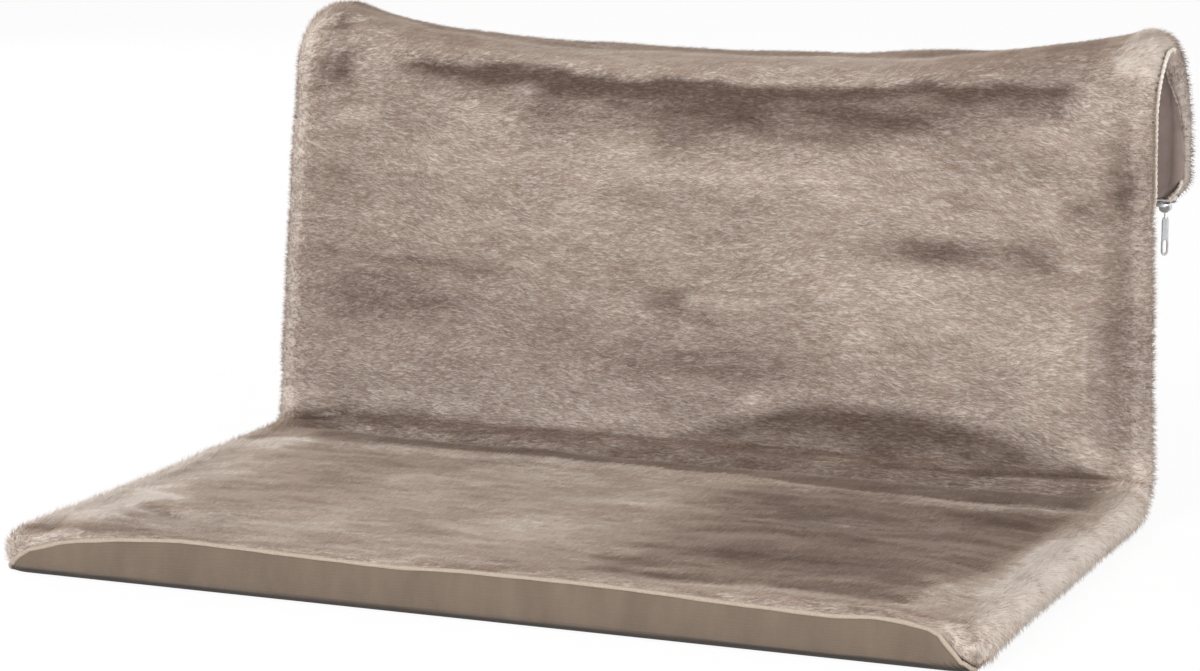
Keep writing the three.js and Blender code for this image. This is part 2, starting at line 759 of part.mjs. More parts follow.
// Its tape closes in past the end of the coil, where the two tapes meet
function tape(side) {
  const hem = rollInside - clearance;
  const coilEnd = zipHalf + stopLength + 2 * clearance;
  const end = coilEnd + tapeTail;
  const outline = new THREE.Shape();
  outline.moveTo(-end, side * hem);
  outline.lineTo(-end, side * (clearance / 2));
  outline.lineTo(-coilEnd, side * (clearance / 2));
  outline.lineTo(-coilEnd, side * (coilOuter + clearance));
  outline.lineTo(coilEnd, side * (coilOuter + clearance));
  outline.lineTo(coilEnd, side * (clearance / 2));
  outline.lineTo(end, side * (clearance / 2));
  outline.lineTo(end, side * hem);
  const geometry = new THREE.ExtrudeGeometry(outline, { depth: tapeThickness, bevelEnabled: false });
  geometry.translate(0, 0, -zipDrop - tapeThickness / 2);
  return geometry;
}

for (const [side, name] of [[1, "outer"], [-1, "inner"]]) {
  add(`zip_coil_${name}`, coilRow(side), zipPlastic, zip);
  add(`zip_tape_${name}`, tape(side), zipTape, zip);
}
for (const [side, name] of [[-1, "left"], [1, "right"]]) {
  const near = side * (zipHalf + clearance);
  const far = near + side * stopLength;
  const low = [Math.min(near, far), -coilOuter, -zipDrop - coilThickness / 2];
  const high = [Math.max(near, far), coilOuter, -zipDrop + coilThickness / 2];
  add(`zip_stop_${name}`, block(low, high), nickel, zip);
}

// Slider: two plates joined by a post, edges turned in towards the tape, and two lugs with a pin for the pull
const sliderAt = zipHalf - sliderLength / 2 - clearance;
const slider = new THREE.Group();
slider.position.x = sliderAt;
zip.add(slider);
const outerTop = -zipDrop - coilThickness / 2 - sliderRunning;
const outerBottom = outerTop - sliderPlate;
const innerBottom = -zipDrop + coilThickness / 2 + sliderRunning;
const innerTop = innerBottom + sliderPlate;
const flangeGap = tapeThickness / 2 + sliderRunning;
const pinDrop = outerBottom - lugHeight + knuckleRadius;

function sliderBody() {
  const long = sliderLength / 2;
  const wide = sliderWidth / 2;
  const bodies = [
    block([-long, -wide, outerBottom], [long, wide, outerTop]),
    block([-long, -wide, innerBottom], [long, wide, innerTop]),
    block([long - sliderPostLength, -sliderPost / 2, outerTop - clearance], [long, sliderPost / 2, innerBottom + clearance]),
    rod(
      new THREE.Vector3(lugShift, -lugGap / 2 - lugThickness / 2, pinDrop),
      new THREE.Vector3(lugShift, lugGap / 2 + lugThickness / 2, pinDrop),
      pinRadius,
      tubeSides,
    ),
  ];
  for (const side of [-1, 1]) {
    const edge = [side * wide, side * (wide - sliderFlange)].sort((a, b) => a - b);
    bodies.push(block([-long, edge[0], outerTop - clearance], [long, edge[1], -zipDrop - flangeGap]));
    bodies.push(block([-long, edge[0], -zipDrop + flangeGap], [long, edge[1], innerBottom + clearance]));
    const lug = [side * (lugGap / 2), side * (lugGap / 2 + lugThickness)].sort((a, b) => a - b);
    bodies.push(
      block(
        [lugShift - lugLength / 2, lug[0], outerBottom - lugHeight],
        [lugShift + lugLength / 2, lug[1], outerBottom + clearance],
      ),
    );
  }
  return geometryOf(bodies.map(solid).reduce((whole, body) => whole.add(body)));
}
add("zip_slider", sliderBody(), nickel, slider);

// Pull: a knuckle on the pin and a slotted tab that hangs from it
const pull = new THREE.Group();
pull.position.set(lugShift, 0, pinDrop);
slider.add(pull);
function pullTab() {
  const knuckleHalf = lugGap / 2 - clearance;
  const tabWide = pullWidth / 2;
  const across = (half, radius) =>
    rod(new THREE.Vector3(0, -half, 0), new THREE.Vector3(0, half, 0), radius, tubeSides);
  const outline = new THREE.Shape();
  outline.moveTo(-knuckleHalf, 0);
  outline.lineTo(-knuckleHalf, -knuckleRadius - lugHeight / 2);
  outline.lineTo(-tabWide, -knuckleRadius - lugHeight / 2 - tabWide);
  outline.lineTo(-tabWide, -pullLength + tabWide);
  outline.absarc(0, -pullLength + tabWide, tabWide, Math.PI, 2 * Math.PI, false);
  outline.lineTo(tabWide, -knuckleRadius - lugHeight / 2 - tabWide);
  outline.lineTo(knuckleHalf, -knuckleRadius - lugHeight / 2);
  outline.lineTo(knuckleHalf, 0);
  const slotHalf = tabWide - pullRim;
  const slotLow = -pullLength + pullRim + slotHalf;
  const slotHigh = slotLow + pullLength * pullSlotShare - 2 * slotHalf;
  const slot = new THREE.Path();
  slot.moveTo(slotHalf, slotLow);
  slot.lineTo(slotHalf, slotHigh);
  slot.absarc(0, slotHigh, slotHalf, 0, Math.PI, false);
  slot.lineTo(-slotHalf, slotLow);
  slot.absarc(0, slotLow, slotHalf, Math.PI, 2 * Math.PI, false);
  outline.holes.push(slot);
  const tab = new THREE.ExtrudeGeometry(outline, {
    depth: pullThickness,
    bevelEnabled: false,
    curveSegments: wideSteps,
  });
  tab.translate(0, 0, -pullThickness / 2);
  tab.rotateX(quarter);
  tab.rotateZ(quarter);
  return geometryOf(
    solid(tab)
      .add(solid(across(knuckleHalf, knuckleRadius)))
      .subtract(solid(across(knuckleHalf + overrun, pinRadius + clearance))),
  );
}
add("zip_pull", pullTab(), nickel, pull);

// The origin is under the middle of the whole hammock
part.position.y = (seatDepth - foot.y - roll) / 2;

export default part;
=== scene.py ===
import math

import bmesh
import bpy
import numpy as np
from mathutils import Matrix, Vector

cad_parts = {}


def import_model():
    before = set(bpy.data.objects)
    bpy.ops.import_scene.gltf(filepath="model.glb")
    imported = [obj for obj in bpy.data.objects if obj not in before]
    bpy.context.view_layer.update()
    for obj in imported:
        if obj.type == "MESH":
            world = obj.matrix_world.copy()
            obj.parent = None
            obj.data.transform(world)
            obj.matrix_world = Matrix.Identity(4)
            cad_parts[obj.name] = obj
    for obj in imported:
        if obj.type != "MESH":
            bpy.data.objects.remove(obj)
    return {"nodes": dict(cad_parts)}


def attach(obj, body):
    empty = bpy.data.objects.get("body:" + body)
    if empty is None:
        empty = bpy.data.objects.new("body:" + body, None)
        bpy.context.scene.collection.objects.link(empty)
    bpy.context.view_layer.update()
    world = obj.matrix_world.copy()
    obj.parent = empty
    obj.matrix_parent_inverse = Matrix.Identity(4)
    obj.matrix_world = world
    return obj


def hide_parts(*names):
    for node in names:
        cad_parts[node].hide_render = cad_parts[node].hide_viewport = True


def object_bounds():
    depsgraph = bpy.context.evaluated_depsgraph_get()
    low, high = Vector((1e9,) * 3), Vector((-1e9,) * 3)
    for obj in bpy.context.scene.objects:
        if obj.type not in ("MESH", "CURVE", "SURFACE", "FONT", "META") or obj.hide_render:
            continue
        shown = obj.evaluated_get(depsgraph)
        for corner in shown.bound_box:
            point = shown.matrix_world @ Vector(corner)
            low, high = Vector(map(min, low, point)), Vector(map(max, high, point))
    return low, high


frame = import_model()
cad_low, cad_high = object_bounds()
scene = bpy.context.scene
scene.view_settings.view_transform = "Standard"

# Where it stands to be photographed: a white sweep without a line between floor and wall, one broad soft lamp
# above and ahead, a weaker one from the right that catches the rolled edge, and pale light all round.
sweep_white = (0.9, 0.9, 0.9, 1)
sweep_own_share = 0.94  # of the sweep's brightness that the lamps' shade doesn't reach
sweep_half_width, sweep_ahead, sweep_behind, sweep_height, sweep_bend = 8.0, 8.0, 7.0, 6.0, 1.6


def new_object(name, data):
    made = bpy.data.objects.new(name, data)
    scene.collection.objects.link(made)
    return made


def wire(tree, node, inputs):
    """On each named input of a shader node, a plain value or a link."""
    for socket, value in inputs.items():
        if isinstance(value, bpy.types.NodeSocket):
            tree.links.new(value, node.inputs[socket])
        else:
            node.inputs[socket].default_value = value


def add(tree, kind, inputs, **settings):
    """A new shader node, set and wired. Gives its outputs."""
    node = tree.nodes.new("ShaderNode" + kind)
    for name, value in settings.items():
        setattr(node, name, value)
    wire(tree, node, inputs)
    return node.outputs


bend = [i / 12 * math.pi / 2 for i in range(13)]
profile = [(-sweep_ahead, 0.0)]
profile += [(sweep_behind - sweep_bend * (1 - math.sin(t)), sweep_bend * (1 - math.cos(t))) for t in bend]
profile.append((sweep_behind, sweep_height))
sweep_mesh = bpy.data.meshes.new("sweep")
sweep_mesh.from_pydata(
    [(x, y, z) for y, z in profile for x in (-sweep_half_width, sweep_half_width)],
    [],
    [(2 * i, 2 * i + 1, 2 * i + 3, 2 * i + 2) for i in range(len(profile) - 1)],
)
sweep = new_object("sweep", sweep_mesh)

paper = bpy.data.materials.new("white_paper")
paper.use_nodes = True
tree = paper.node_tree
tree.nodes.clear()
path = add(tree, "LightPath", {})
seen = add(tree, "Math", {0: path["Is Camera Ray"], 1: path["Is Glossy Ray"]}, operation="MAXIMUM")
through = add(tree, "Math", {0: seen[0], 1: path["Is Transmission Ray"]}, operation="MAXIMUM")
share = add(tree, "Math", {0: through[0], 1: sweep_own_share}, operation="MULTIPLY")
matt = add(tree, "BsdfDiffuse", {"Color": sweep_white})
bright = add(tree, "Emission", {})
both = add(tree, "MixShader", {"Fac": share[0], 1: matt[0], 2: bright[0]})
add(tree, "OutputMaterial", {"Surface": both[0]})
sweep_mesh.materials.append(paper)

world = bpy.data.worlds.new("studio_air")
scene.world = world
world.use_nodes = True
air = world.node_tree.nodes["Background"]
wire(world.node_tree, air, {"Color": (1, 1, 1, 1), "Strength": 0.5})


def soft_lamp(name, place, aim, size, power):
    light = bpy.data.lights.new(name, "AREA")
    light.shape = "SQUARE"
    light.size = size
    light.energy = power
    lamp = new_object(name, light)
    lamp.location = place
    lamp.rotation_euler = (Vector(aim) - Vector(place)).to_track_quat("-Z", "Y").to_euler()


soft_lamp("broad_lamp", (-0.5, -2.3, 1.5), (0, 0, 0.08), 1.6, 62)
soft_lamp("right_lamp", (1.8, -0.9, 0.55), (0.15, 0.05, 0.1), 1.0, 22)
soft_lamp("left_lamp", (-1.8, 1.2, 0.8), (-0.1, 0, 0.1), 1.0, 26)

# The camera stands ahead and to the right, a little above the hook, and looks down by ten degrees. Its
# place comes from the corners and edges that the photograph shows.
camera_place = Vector((0.6119, -1.5006, 0.3879))
camera_yaw, camera_pitch, camera_roll = math.radians(22.65), math.radians(10.39), math.radians(-0.16)
camera_lens, sensor_width = 106.31, 36  # mm

camera = new_object("camera", bpy.data.cameras.new("camera"))
camera.data.lens = camera_lens
camera.data.sensor_width = sensor_width
camera.data.sensor_fit = "HORIZONTAL"
camera.data.clip_end = 50
facing = Matrix.Rotation(camera_yaw, 4, "Z") @ Matrix.Rotation(math.pi / 2 - camera_pitch, 4, "X")
camera.matrix_world = Matrix.Translation(camera_place) @ facing @ Matrix.Rotation(camera_roll, 4, "Z")
scene.camera = camera


# The frame: bent steel tubes with a dark powder coat, pushed together and held by small zinc-plated screws.
# The sleeve hides all of it. The coat has the slight orange peel that powder leaves, and the zinc is
# faintly brushed.
def finish(name, color, roughness, metallic=0.0):
    """A new material, its node tree and its shader, with the plain values set on the shader."""
    made = bpy.data.materials.new(name)
    made.use_nodes = True
    tree = made.node_tree
    shader = tree.nodes["Principled BSDF"]
    wire(tree, shader, {"Base Color": (*color, 1), "Roughness": roughness, "Metallic": metallic})
    return made, tree, shader


def add_bump(tree, shader, height, distance, strength=1.0):
    bump = add(tree, "Bump", {"Height": height, "Distance": distance, "Strength": strength})
    wire(tree, shader, {"Normal": bump["Normal"]})


def add_tones(tree, shader, value, dark, light, low=0.35, high=0.65):
    ramp = tree.nodes.new("ShaderNodeValToRGB")
    for element, position, color in zip(ramp.color_ramp.elements, (low, high), (dark, light)):
        element.position = position
        element.color = (*color, 1)
    wire(tree, ramp, {"Fac": value})
    wire(tree, shader, {"Base Color": ramp.outputs["Color"]})
    return ramp.outputs["Color"]


def grained(name, color, roughness, metallic, scale, detail, dark, light, bump=0.0, stretch=(1, 1, 1)):
    """A finish with fine noise over the object's own metres, in its tones and in its height."""
    made, tree, shader = finish(name, color, roughness, metallic)
    place = add(tree, "TexCoord", {})
    turned = add(tree, "Mapping", {"Vector": place["Object"], "Scale": stretch})
    noise = add(tree, "TexNoise", {"Vector": turned["Vector"], "Scale": scale, "Detail": detail})
    add_tones(tree, shader, noise["Fac"], dark, light)
    if bump > 0:
        add_bump(tree, shader, noise["Fac"], bump)
    return made


def coat(node, material):
    shown = frame["nodes"][node]
    shown.data.materials.clear()
    shown.data.materials.append(material)
    for slot in shown.material_slots:
        slot.material = material


powder_coat = grained("powder_coat", (0.03, 0.031, 0.034), 0.42, 0.0, 900, 2,
                      (0.026, 0.027, 0.03), (0.036, 0.037, 0.04), 0.0001)
zinc = grained("zinc_plate", (0.62, 0.63, 0.65), 0.32, 1.0, 700, 3,
               (0.52, 0.53, 0.55), (0.7, 0.71, 0.73), 0.00004, (1, 6, 1))
tubes = ("front_frame_tube", "hook_frame_tube", "left_elbow_tube", "right_elbow_tube", "crease_cross_bar")
for node in tubes:
    coat(node, powder_coat)
for side in ("left", "right"):
    for screw in ("seat_joint_screw", "back_joint_screw", "bar_screw"):
        coat(f"{side}_{screw}", zinc)

# The seat's foam pad and the back's wadding lie between the tubes. The pad is a slab of open-cell foam,
# crowned by the pull of the sleeve, and the wadding is a thin quilted layer. Both follow the frame's side
# view.
seat_depth = 0.275
height = cad_high.z
flap_drop = 0.091
side_taper = 0.007
back_lean = math.radians(4)
tube = 0.005
tight_bend, hook_front_bend, hook_top_run, hook_rear_bend = 0.016, 0.030, 0.004, 0.046
ease = 0.0003
plush_thick, lining_thick = 0.005, 0.001
roll = tube + ease + plush_thick
lining_roll = tube + ease + lining_thick
seat_axis = 0.0103
swell = 0.004
half_width = 0.230 - roll
rise = math.pi / 2 - back_lean
front_y = cad_low.y  # the front of the seat

tight_tangent = tight_bend * math.tan(rise / 2)
hook_tangent = hook_front_bend * math.tan(rise / 2)
stretches = [
    (seat_depth - roll - tight_tangent, 0.0),
    (tight_bend * rise, rise),
    ((height - roll - seat_axis) / math.cos(back_lean) - tight_tangent - hook_tangent, 0.0),
    (hook_front_bend * rise, -rise),
    (hook_top_run, 0.0),
    (hook_rear_bend * math.pi / 2, -math.pi / 2),
    (flap_drop - roll - hook_rear_bend - roll, 0.0),
]
starts = np.concatenate([[0], np.cumsum([length for length, turn in stretches])])
seat_bend, back_start, hook_front, hook_top, hook_rear, rear_leg, rear_bar = starts[1:8]
bend_middle = (seat_bend + back_start) / 2
sag_middle = (hook_top + hook_rear) / 2
hem = rear_bar + roll


def smooth(share):
    share = np.clip(share, 0, 1)
    return share * share * (3 - 2 * share)


def past(value, start, width):
    """0 up to a start, then rising to 1 over a width."""
    return smooth((value - start) / width)


def before(value, end, width):
    """0 from an end on, and falling to it from 1 over a width."""
    return smooth((end - value) / width)


def side_view(along):
    """Y, Z and heading on the middle line of the tubes, at distances from the front bar."""
    along = np.asarray(along, float)
    y = np.full(along.shape, front_y + roll)
    z = np.full(along.shape, seat_axis)
    heading = np.zeros(along.shape)
    for i, (length, turn) in enumerate(stretches):
        low = -np.inf if i == 0 else 0
        high = np.inf if i == len(stretches) - 1 else length
        part = np.clip(along - starts[i], low, high)
        if turn == 0:
            y = y + part * np.cos(heading)
            z = z + part * np.sin(heading)
        else:
            curve = turn / length
            turned = heading + curve * part
            y = y + (np.sin(turned) - np.sin(heading)) / curve
            z = z - (np.cos(turned) - np.cos(heading)) / curve
            heading = turned
    return y, z, heading


def bent(across, along, above):
    """A point of the flat pattern, bent to the side view."""
    y, z, heading = side_view(along)
    climbed = np.clip((along - back_start) / (hook_front - back_start), 0, 1)
    x = across - side_taper * climbed * np.clip(across / half_width, -1, 1)
    return np.stack([x, y - above * np.sin(heading), z + above * np.cos(heading)], axis=-1)


def mesh_of(name, points, faces):
    """A smooth mesh from arrays of points and of each face's corners."""
    mesh = bpy.data.meshes.new(name)
    mesh.vertices.add(points.size // 3)
    mesh.vertices.foreach_set("co", points.ravel())
    mesh.loops.add(faces.size)
    mesh.loops.foreach_set("vertex_index", faces.ravel())
    mesh.polygons.add(len(faces))
    mesh.polygons.foreach_set("loop_start", np.arange(0, faces.size, faces.shape[1]))
    mesh.polygons.foreach_set("loop_total", np.full(len(faces), faces.shape[1]))
    mesh.update(calc_edges=True)
    mesh.shade_smooth()
    return mesh


def quads(*corners):
    return np.stack(corners, axis=-1).reshape(-1, 4)


def closed_sheet(name, face, back, flat=None):
    """A sheet with thickness, from the points of its upper face and its lower one.

    flat gives the cloth's own places in metres.
    """
    at = np.arange(face[..., 0].size).reshape(face.shape[:2])
    under = at + at.size
    faces = np.concatenate([
        quads(at[:-1, :-1], at[:-1, 1:], at[1:, 1:], at[1:, :-1]),
        quads(under[:-1, :-1], under[1:, :-1], under[1:, 1:], under[:-1, 1:]),
        quads(at[0, :-1], under[0, :-1], under[0, 1:], at[0, 1:]),
        quads(at[-1, 1:], under[-1, 1:], under[-1, :-1], at[-1, :-1]),
        quads(at[1:, 0], under[1:, 0], under[:-1, 0], at[:-1, 0]),
        quads(at[:-1, -1], under[:-1, -1], under[1:, -1], at[1:, -1]),
    ])
    mesh = mesh_of(name, np.stack([face, back]), faces)
    if flat is not None:
        layer = mesh.uv_layers.new(name="cloth_metres")
        places = np.tile(np.stack(flat, axis=-1).reshape(-1, 2), (2, 1))
        layer.data.foreach_set("uv", places[faces.ravel()].ravel())
    return new_object(name, mesh)


pad_edge, pad_round, pad_fall = 0.009, 0.004, 0.7  # how far in their rims lie, and how round they are


def crowned_pad(name, first, last, top, bottom):
    reach = half_width - pad_edge
    u = np.sin(np.linspace(-math.pi / 2, math.pi / 2, 61)) * reach
    v = first + (last - first) * (1 - np.cos(np.linspace(0, math.pi, 41))) / 2
    across, along = np.meshgrid(u, v)
    edge = np.minimum(np.minimum(reach - np.abs(across), along - first), last - along) / pad_round
    inwards = pad_fall * pad_round * (1 - np.sqrt(1 - (1 - np.clip(edge, 0, 1)) ** 2))
    face = bent(across, along, top(across, along) - inwards)
    back = bent(across, along, inwards - bottom(across, along))
    return closed_sheet(name, face, back)


pad_end = 0.008
side_ramp, crease_ramp, band_ramp = 0.038, 0.042, 0.04
top_sag, sag_reach, top_settle = 0.0183, 0.074, 0.0009
back_hollow, seat_hollow = 0.003, 0.0015
crease_depth, crease_reach = 0.0058, 0.022
panel_joint = hook_front - 0.026


def between_tubes(across):
    return np.minimum(np.abs(across) / (half_width - tube), 1)


def off_side(across):
    """0 at the side tubes, and 1 well inside them."""
    return before(np.abs(across), half_width, side_ramp)


def dip(across, along, first, last, depth):
    share = np.clip((along - first) / (last - first), 0, 1)
    return depth * (1 - between_tubes(across) ** 2) * np.sin(math.pi * share)


def back_dip(across, along):
    return dip(across, along, back_start, panel_joint, back_hollow)


def hook_sag(across, along):
    deep = top_settle + top_sag * (1 - between_tubes(across) ** 3)
    return deep * smooth(1 - np.abs(along - sag_middle) / sag_reach)


def crease_sink(across, along):
    falling = past(along, seat_bend - crease_reach, crease_reach)
    rising = past(along, seat_bend, bend_middle - seat_bend)
    return crease_depth * off_side(across) * falling * (1 - rising)


def lift(across, along):
    swelled = swell * off_side(across) * before(along, seat_bend - pad_end, crease_ramp)
    sunk = dip(across, along, 0.0, seat_bend, seat_hollow) + crease_sink(across, along)
    return swelled - sunk - back_dip(across, along) - hook_sag(across, along)


def lining_depth(across, along):
    off_edge = np.maximum(off_side(across), before(along, 1.2 * band_ramp, band_ramp))
    return lining_roll + swell * off_edge * before(along, bend_middle, bend_middle - seat_bend)


inside_gap = 0.0012  # between pad and cloth
half_wadding = 0.0042
seat_pad = crowned_pad(
    "foam_pad",
    pad_edge,
    seat_bend - pad_end,
    lambda a, s: tube + lift(a, s) - inside_gap,
    lambda a, s: lining_depth(a, s) - lining_thick - inside_gap,
)
back_pad = crowned_pad(
    "back_wadding_layer",
    back_start + pad_end,
    panel_joint - pad_end,
    lambda a, s: half_wadding - back_dip(a, s) - hook_sag(a, s),
    lambda a, s: half_wadding + hook_sag(a, s),
)

foam, tree, shader = finish("open_cell_foam", (0.82, 0.78, 0.68), 0.9)
place = add(tree, "TexCoord", {})
cells = add(tree, "TexVoronoi", {"Vector": place["Object"], "Scale": 900})
add_tones(tree, shader, cells["Distance"], (0.86, 0.82, 0.72), (0.66, 0.61, 0.50), 0.2, 0.7)
add_bump(tree, shader, cells["Distance"], 0.0006)
seat_pad.data.materials.append(foam)
wadding = grained("polyester_wadding", (0.86, 0.85, 0.82), 0.95, 0.0, 400, 6,
                  (0.76, 0.75, 0.72), (0.9, 0.89, 0.87), 0.0008, (1, 1, 3))
back_pad.data.materials.append(wadding)

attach(seat_pad, "hammock")
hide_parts("seat_foam_pad")
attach(back_pad, "hammock")
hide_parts("back_wadding")

# The lining: one piece of plain taupe weave. It shows as the band on the seat's front, runs flat under the
# seat and up behind the back, and lines the hook down to the zip. Its edges are sewn to the plush in the
# side seams.
welt = 0.0010
seam_half = 0.3 * welt / roll
front_corner = 0.006  # in plan, at the middle of the rolled edge
foot_cut = 0.003  # how far the flap's corners draw in
foot_lift, foot_width = 0.0015, 0.024  # how high the hem rises there, and over what width
foot_wrap = math.radians(60)  # how far the hems go round the bar at the foot, to the zip's tapes
corner_wrap = math.radians(26)  # and how much further past the zip's ends, where they meet
front_square, wrap_draw = 1.4, 0.4  # how square the roll is under the seat, and how it draws in at the foot
lining_share = 0.8  # of the lining's thickness that its sheet takes
mm = 0.001  # for the tables of places on the pattern

# The side seam's angle round the tube, from the plush side: under the seat, behind the back, over the top
# of the hook and then turned inwards
side_seam_line = [
    (0.0, 166), (seat_bend - 0.03, 166), (bend_middle, 146), (back_start + 0.02, 126),
    (hook_front - 0.02, 122), (hook_front + 0.014, 106),
    (hook_top - 0.008, 86), (hook_top + 0.003, 90), (hook_top + 0.012, 135),
    (hook_top + 0.022, 160), (hook_top + 0.040, 168), (rear_leg - 0.025, 158), (rear_leg - 0.017, 148),
    (rear_leg + 0.008, 130), (rear_bar - 0.003, 132), (rear_bar + 0.003, 150), (hem, 176),
]
# The front seam's angle across the seat, as the photograph shows it
front_seam_line = [
    (-219.7, 118), (-215, 97), (-210, 80), (-195, 62), (-180, 54), (-165, 46), (-135, 35), (-105, 38),
    (-60, 43), (-30, 45), (0, 39), (60, 39), (90, 43), (120, 48.5), (165, 53), (180, 48), (195, 47.5),
    (205, 51), (210, 60), (215, 88), (219.7, 118),
]


def line_at(place, points):
    """The value at a place on a line of points, whose places are in millimetres."""
    return np.interp(place / mm, *np.transpose(points))


def foot_share(along):
    return past(along, rear_bar - tight_bend, tight_bend + roll)


def foot_rise(across, along):
    return foot_lift * past(np.abs(across), half_width - foot_width, foot_width) * foot_share(along)


def seam_at(across, along):
    """The seam's angle where a point's way round the edge meets it."""
    past_side, past_front = np.maximum(np.abs(across) - half_width, 0), np.maximum(-along, 0)
    round_corner = smooth(past_side / np.maximum(past_side + past_front, 1e-9))
    front = np.radians(line_at(across, front_seam_line))
    side = np.radians(np.interp(np.maximum(along, 0), *np.transpose(side_seam_line)))
    return np.where(past_front > 0, front + (side - front) * round_corner, side)


def rolled(across, along, turn, reach, raised):
    """A point of the sleeve that may lie round a side tube, the front bar or the bar at the foot.

    turn gives its angle from the plush side, and reach its distance from the middle of the bar.
    """
    past_side = np.maximum(np.abs(across) - half_width + front_corner, 0)
    past_front = np.maximum(front_corner - along, 0)
    outer = np.maximum(past_side, past_front)
    angle = turn(np.maximum(outer - front_corner, 0) / roll)
    radius = reach(angle)
    # the lower half is squarer at the seat's front, where the pad fills it
    power = 2 + front_square * before(np.maximum(along, 0), band_ramp, band_ramp)
    down, sine = -np.minimum(np.cos(angle), 0), np.abs(np.sin(angle))
    radius = radius * np.where(down > 0, np.maximum(down**power + sine**power, 1e-9) ** (-1 / power), 1.0)
    closing = corner_wrap * past(np.abs(across), half_width - 0.001, 0.005)
    wrap = (foot_wrap + closing) * np.clip((along - rear_bar) / roll, 0, 1)
    aside = np.minimum(outer, front_corner) + radius * np.sin(angle) * np.cos(wrap) ** wrap_draw
    length = np.maximum(np.hypot(past_side, past_front), 1e-9)
    draw = foot_cut * foot_share(along) ** 5
    a = np.minimum(np.abs(across), half_width - front_corner) * (1 - draw / half_width)
    a = np.sign(across) * (a + aside * past_side / length - draw * np.minimum(past_side / front_corner, 1))
    s = np.clip(along, front_corner, rear_bar) - aside * past_front / length + radius * np.sin(wrap)
    above = (radius * np.cos(angle) + raised * np.abs(np.cos(angle))) * np.cos(wrap)
    return bent(a, s - foot_rise(across, along), above)


def lining_at(across, along, inset):
    depth = lining_depth(across, np.maximum(along, 0)) + hook_sag(across, along)
    at_foot = 0.0030 * past(along, rear_bar, roll)

    def turn(share):
        return math.pi - share * (math.pi - seam_at(across, along) - seam_half)

    def reach(angle):
        turned = (math.pi - angle) / (math.pi / 2)
        return depth + at_foot + (roll - depth) * np.minimum(turned, 1) - inset

    outer = np.maximum(np.abs(across) - half_width, -along)
    angle = turn(np.maximum(outer, 0) / roll)
    raised = np.where(angle < math.pi / 2, lift(across, np.zeros_like(across)), 0.0)
    return rolled(across, along, turn, reach, raised)


def sleeve_grid(round_steps, across_count, front_steps, rows, foot_rows):
    """Places on the flat pattern, with the stretches round the tubes at its edges."""
    side = half_width + roll * np.linspace(0, 1, round_steps + 1)[1:]
    u = np.concatenate([-side[::-1], np.linspace(-half_width, half_width, across_count), side])
    v = np.concatenate([
        np.linspace(-roll, 0, front_steps)[:-1],
        np.linspace(0, rear_bar, rows)[:-1],
        np.linspace(rear_bar, hem, foot_rows),
    ])
    return np.meshgrid(u, v)


def mark(sheet, name, values):
    """A number for each point of a sheet, which its finish reads."""
    layer = sheet.data.attributes.new(name, "FLOAT", "POINT")
    layer.data.foreach_set("value", values)


across, along = sleeve_grid(10, 161, 21, 220, 9)
faces = [lining_at(across, along, inset) for inset in (lining_thick * lining_share, 0.0)]
lining = closed_sheet("lining_sleeve", *faces, (across, along))
# painted light: the lining inside the hook, which lies in shade, is made paler and a little more mauve
mark(lining, "painted_light_in_hook", np.tile(past(along, hook_front, 0.04).ravel(), 2))
# painted shade where the band turns under, on the floor
above_floor = np.stack(faces)[..., 2].ravel()
mark(lining, "painted_underside_shade", before(above_floor, 0.0042, 0.0014) * np.tile((along < 0.004).ravel(), 2))
weave, tree, shader = finish("plain_weave", (0.165, 0.125, 0.093), 0.85)
wire(tree, shader, {"Sheen Weight": 0.1, "Sheen Roughness": 0.5, "Specular IOR Level": 0.25})
pattern = add(tree, "UVMap", {}, uv_map="cloth_metres")
threads = []
for direction in ("X", "Y"):
    thread = {"Vector": pattern["UV"], "Scale": 640, "Distortion": 1.6, "Detail Scale": 0.3}
    threads.append(add(tree, "TexWave", thread, bands_direction=direction)["Fac"])
crossing = add(tree, "Math", {0: threads[0], 1: threads[1]}, operation="MULTIPLY")
uneven = add(tree, "TexNoise", {"Vector": pattern["UV"], "Scale": 60, "Detail": 8, "Roughness": 0.65})
mixed = add(tree, "Math", {0: crossing[0], 1: 0.12, 2: uneven["Fac"]}, operation="MULTIPLY_ADD")
tones = add_tones(tree, shader, mixed[0], (0.126, 0.094, 0.070), (0.161, 0.123, 0.092), 0.38, 0.75)
# painted light inside the hook: paler and a little more mauve
painted_light_in_hook = add(tree, "Attribute", {}, attribute_name="painted_light_in_hook")
paler = {"Factor": painted_light_in_hook["Fac"], "A": tones, "B": (2.3, 2.35, 2.85, 1)}
paler = add(tree, "Mix", paler, data_type="RGBA", blend_type="MULTIPLY")
# painted shade: the band's lower edge is darkened where it turns under onto the floor
turned = add(tree, "Attribute", {}, attribute_name="painted_underside_shade")
darker = {"Factor": turned["Fac"], "A": paler["Result"], "B": (0.03, 0.024, 0.02, 1)}
darker = add(tree, "Mix", darker, data_type="RGBA")
wire(tree, shader, {"Base Color": darker["Result"]})
add_bump(tree, shader, crossing[0], 0.00012, 0.5)
lining.data.materials.append(weave)

# The plush: one long piece from the front seam over seat, back and hook to the zip, about 5 mm thick with
# its pile. This is its knitted ground. The pile's brushed patches and the folds of the cloth are those the
# photograph shows.
pile_height = 0.0022
ground_radius = roll - pile_height


def unit(v):
    return v / np.maximum(np.linalg.norm(v, axis=-1, keepdims=True), 1e-12)


def value_noise(x, y, cell, seed):
    """Smooth noise from 0 to 1 over the flat pattern."""
    table = np.random.RandomState(seed).rand(256, 256)
    gx, gy = x / cell + 97.3, y / cell + 61.7
    ix, iy = np.floor(gx).astype(int), np.floor(gy).astype(int)
    fx, fy = smooth(gx - ix), smooth(gy - iy)
    ix, iy = ix % 256, iy % 256
    jx, jy = (ix + 1) % 256, (iy + 1) % 256
    low = table[iy, ix] * (1 - fx) + table[iy, jx] * fx
    high = table[jy, ix] * (1 - fx) + table[jy, jx] * fx
    return low * (1 - fy) + high * fy


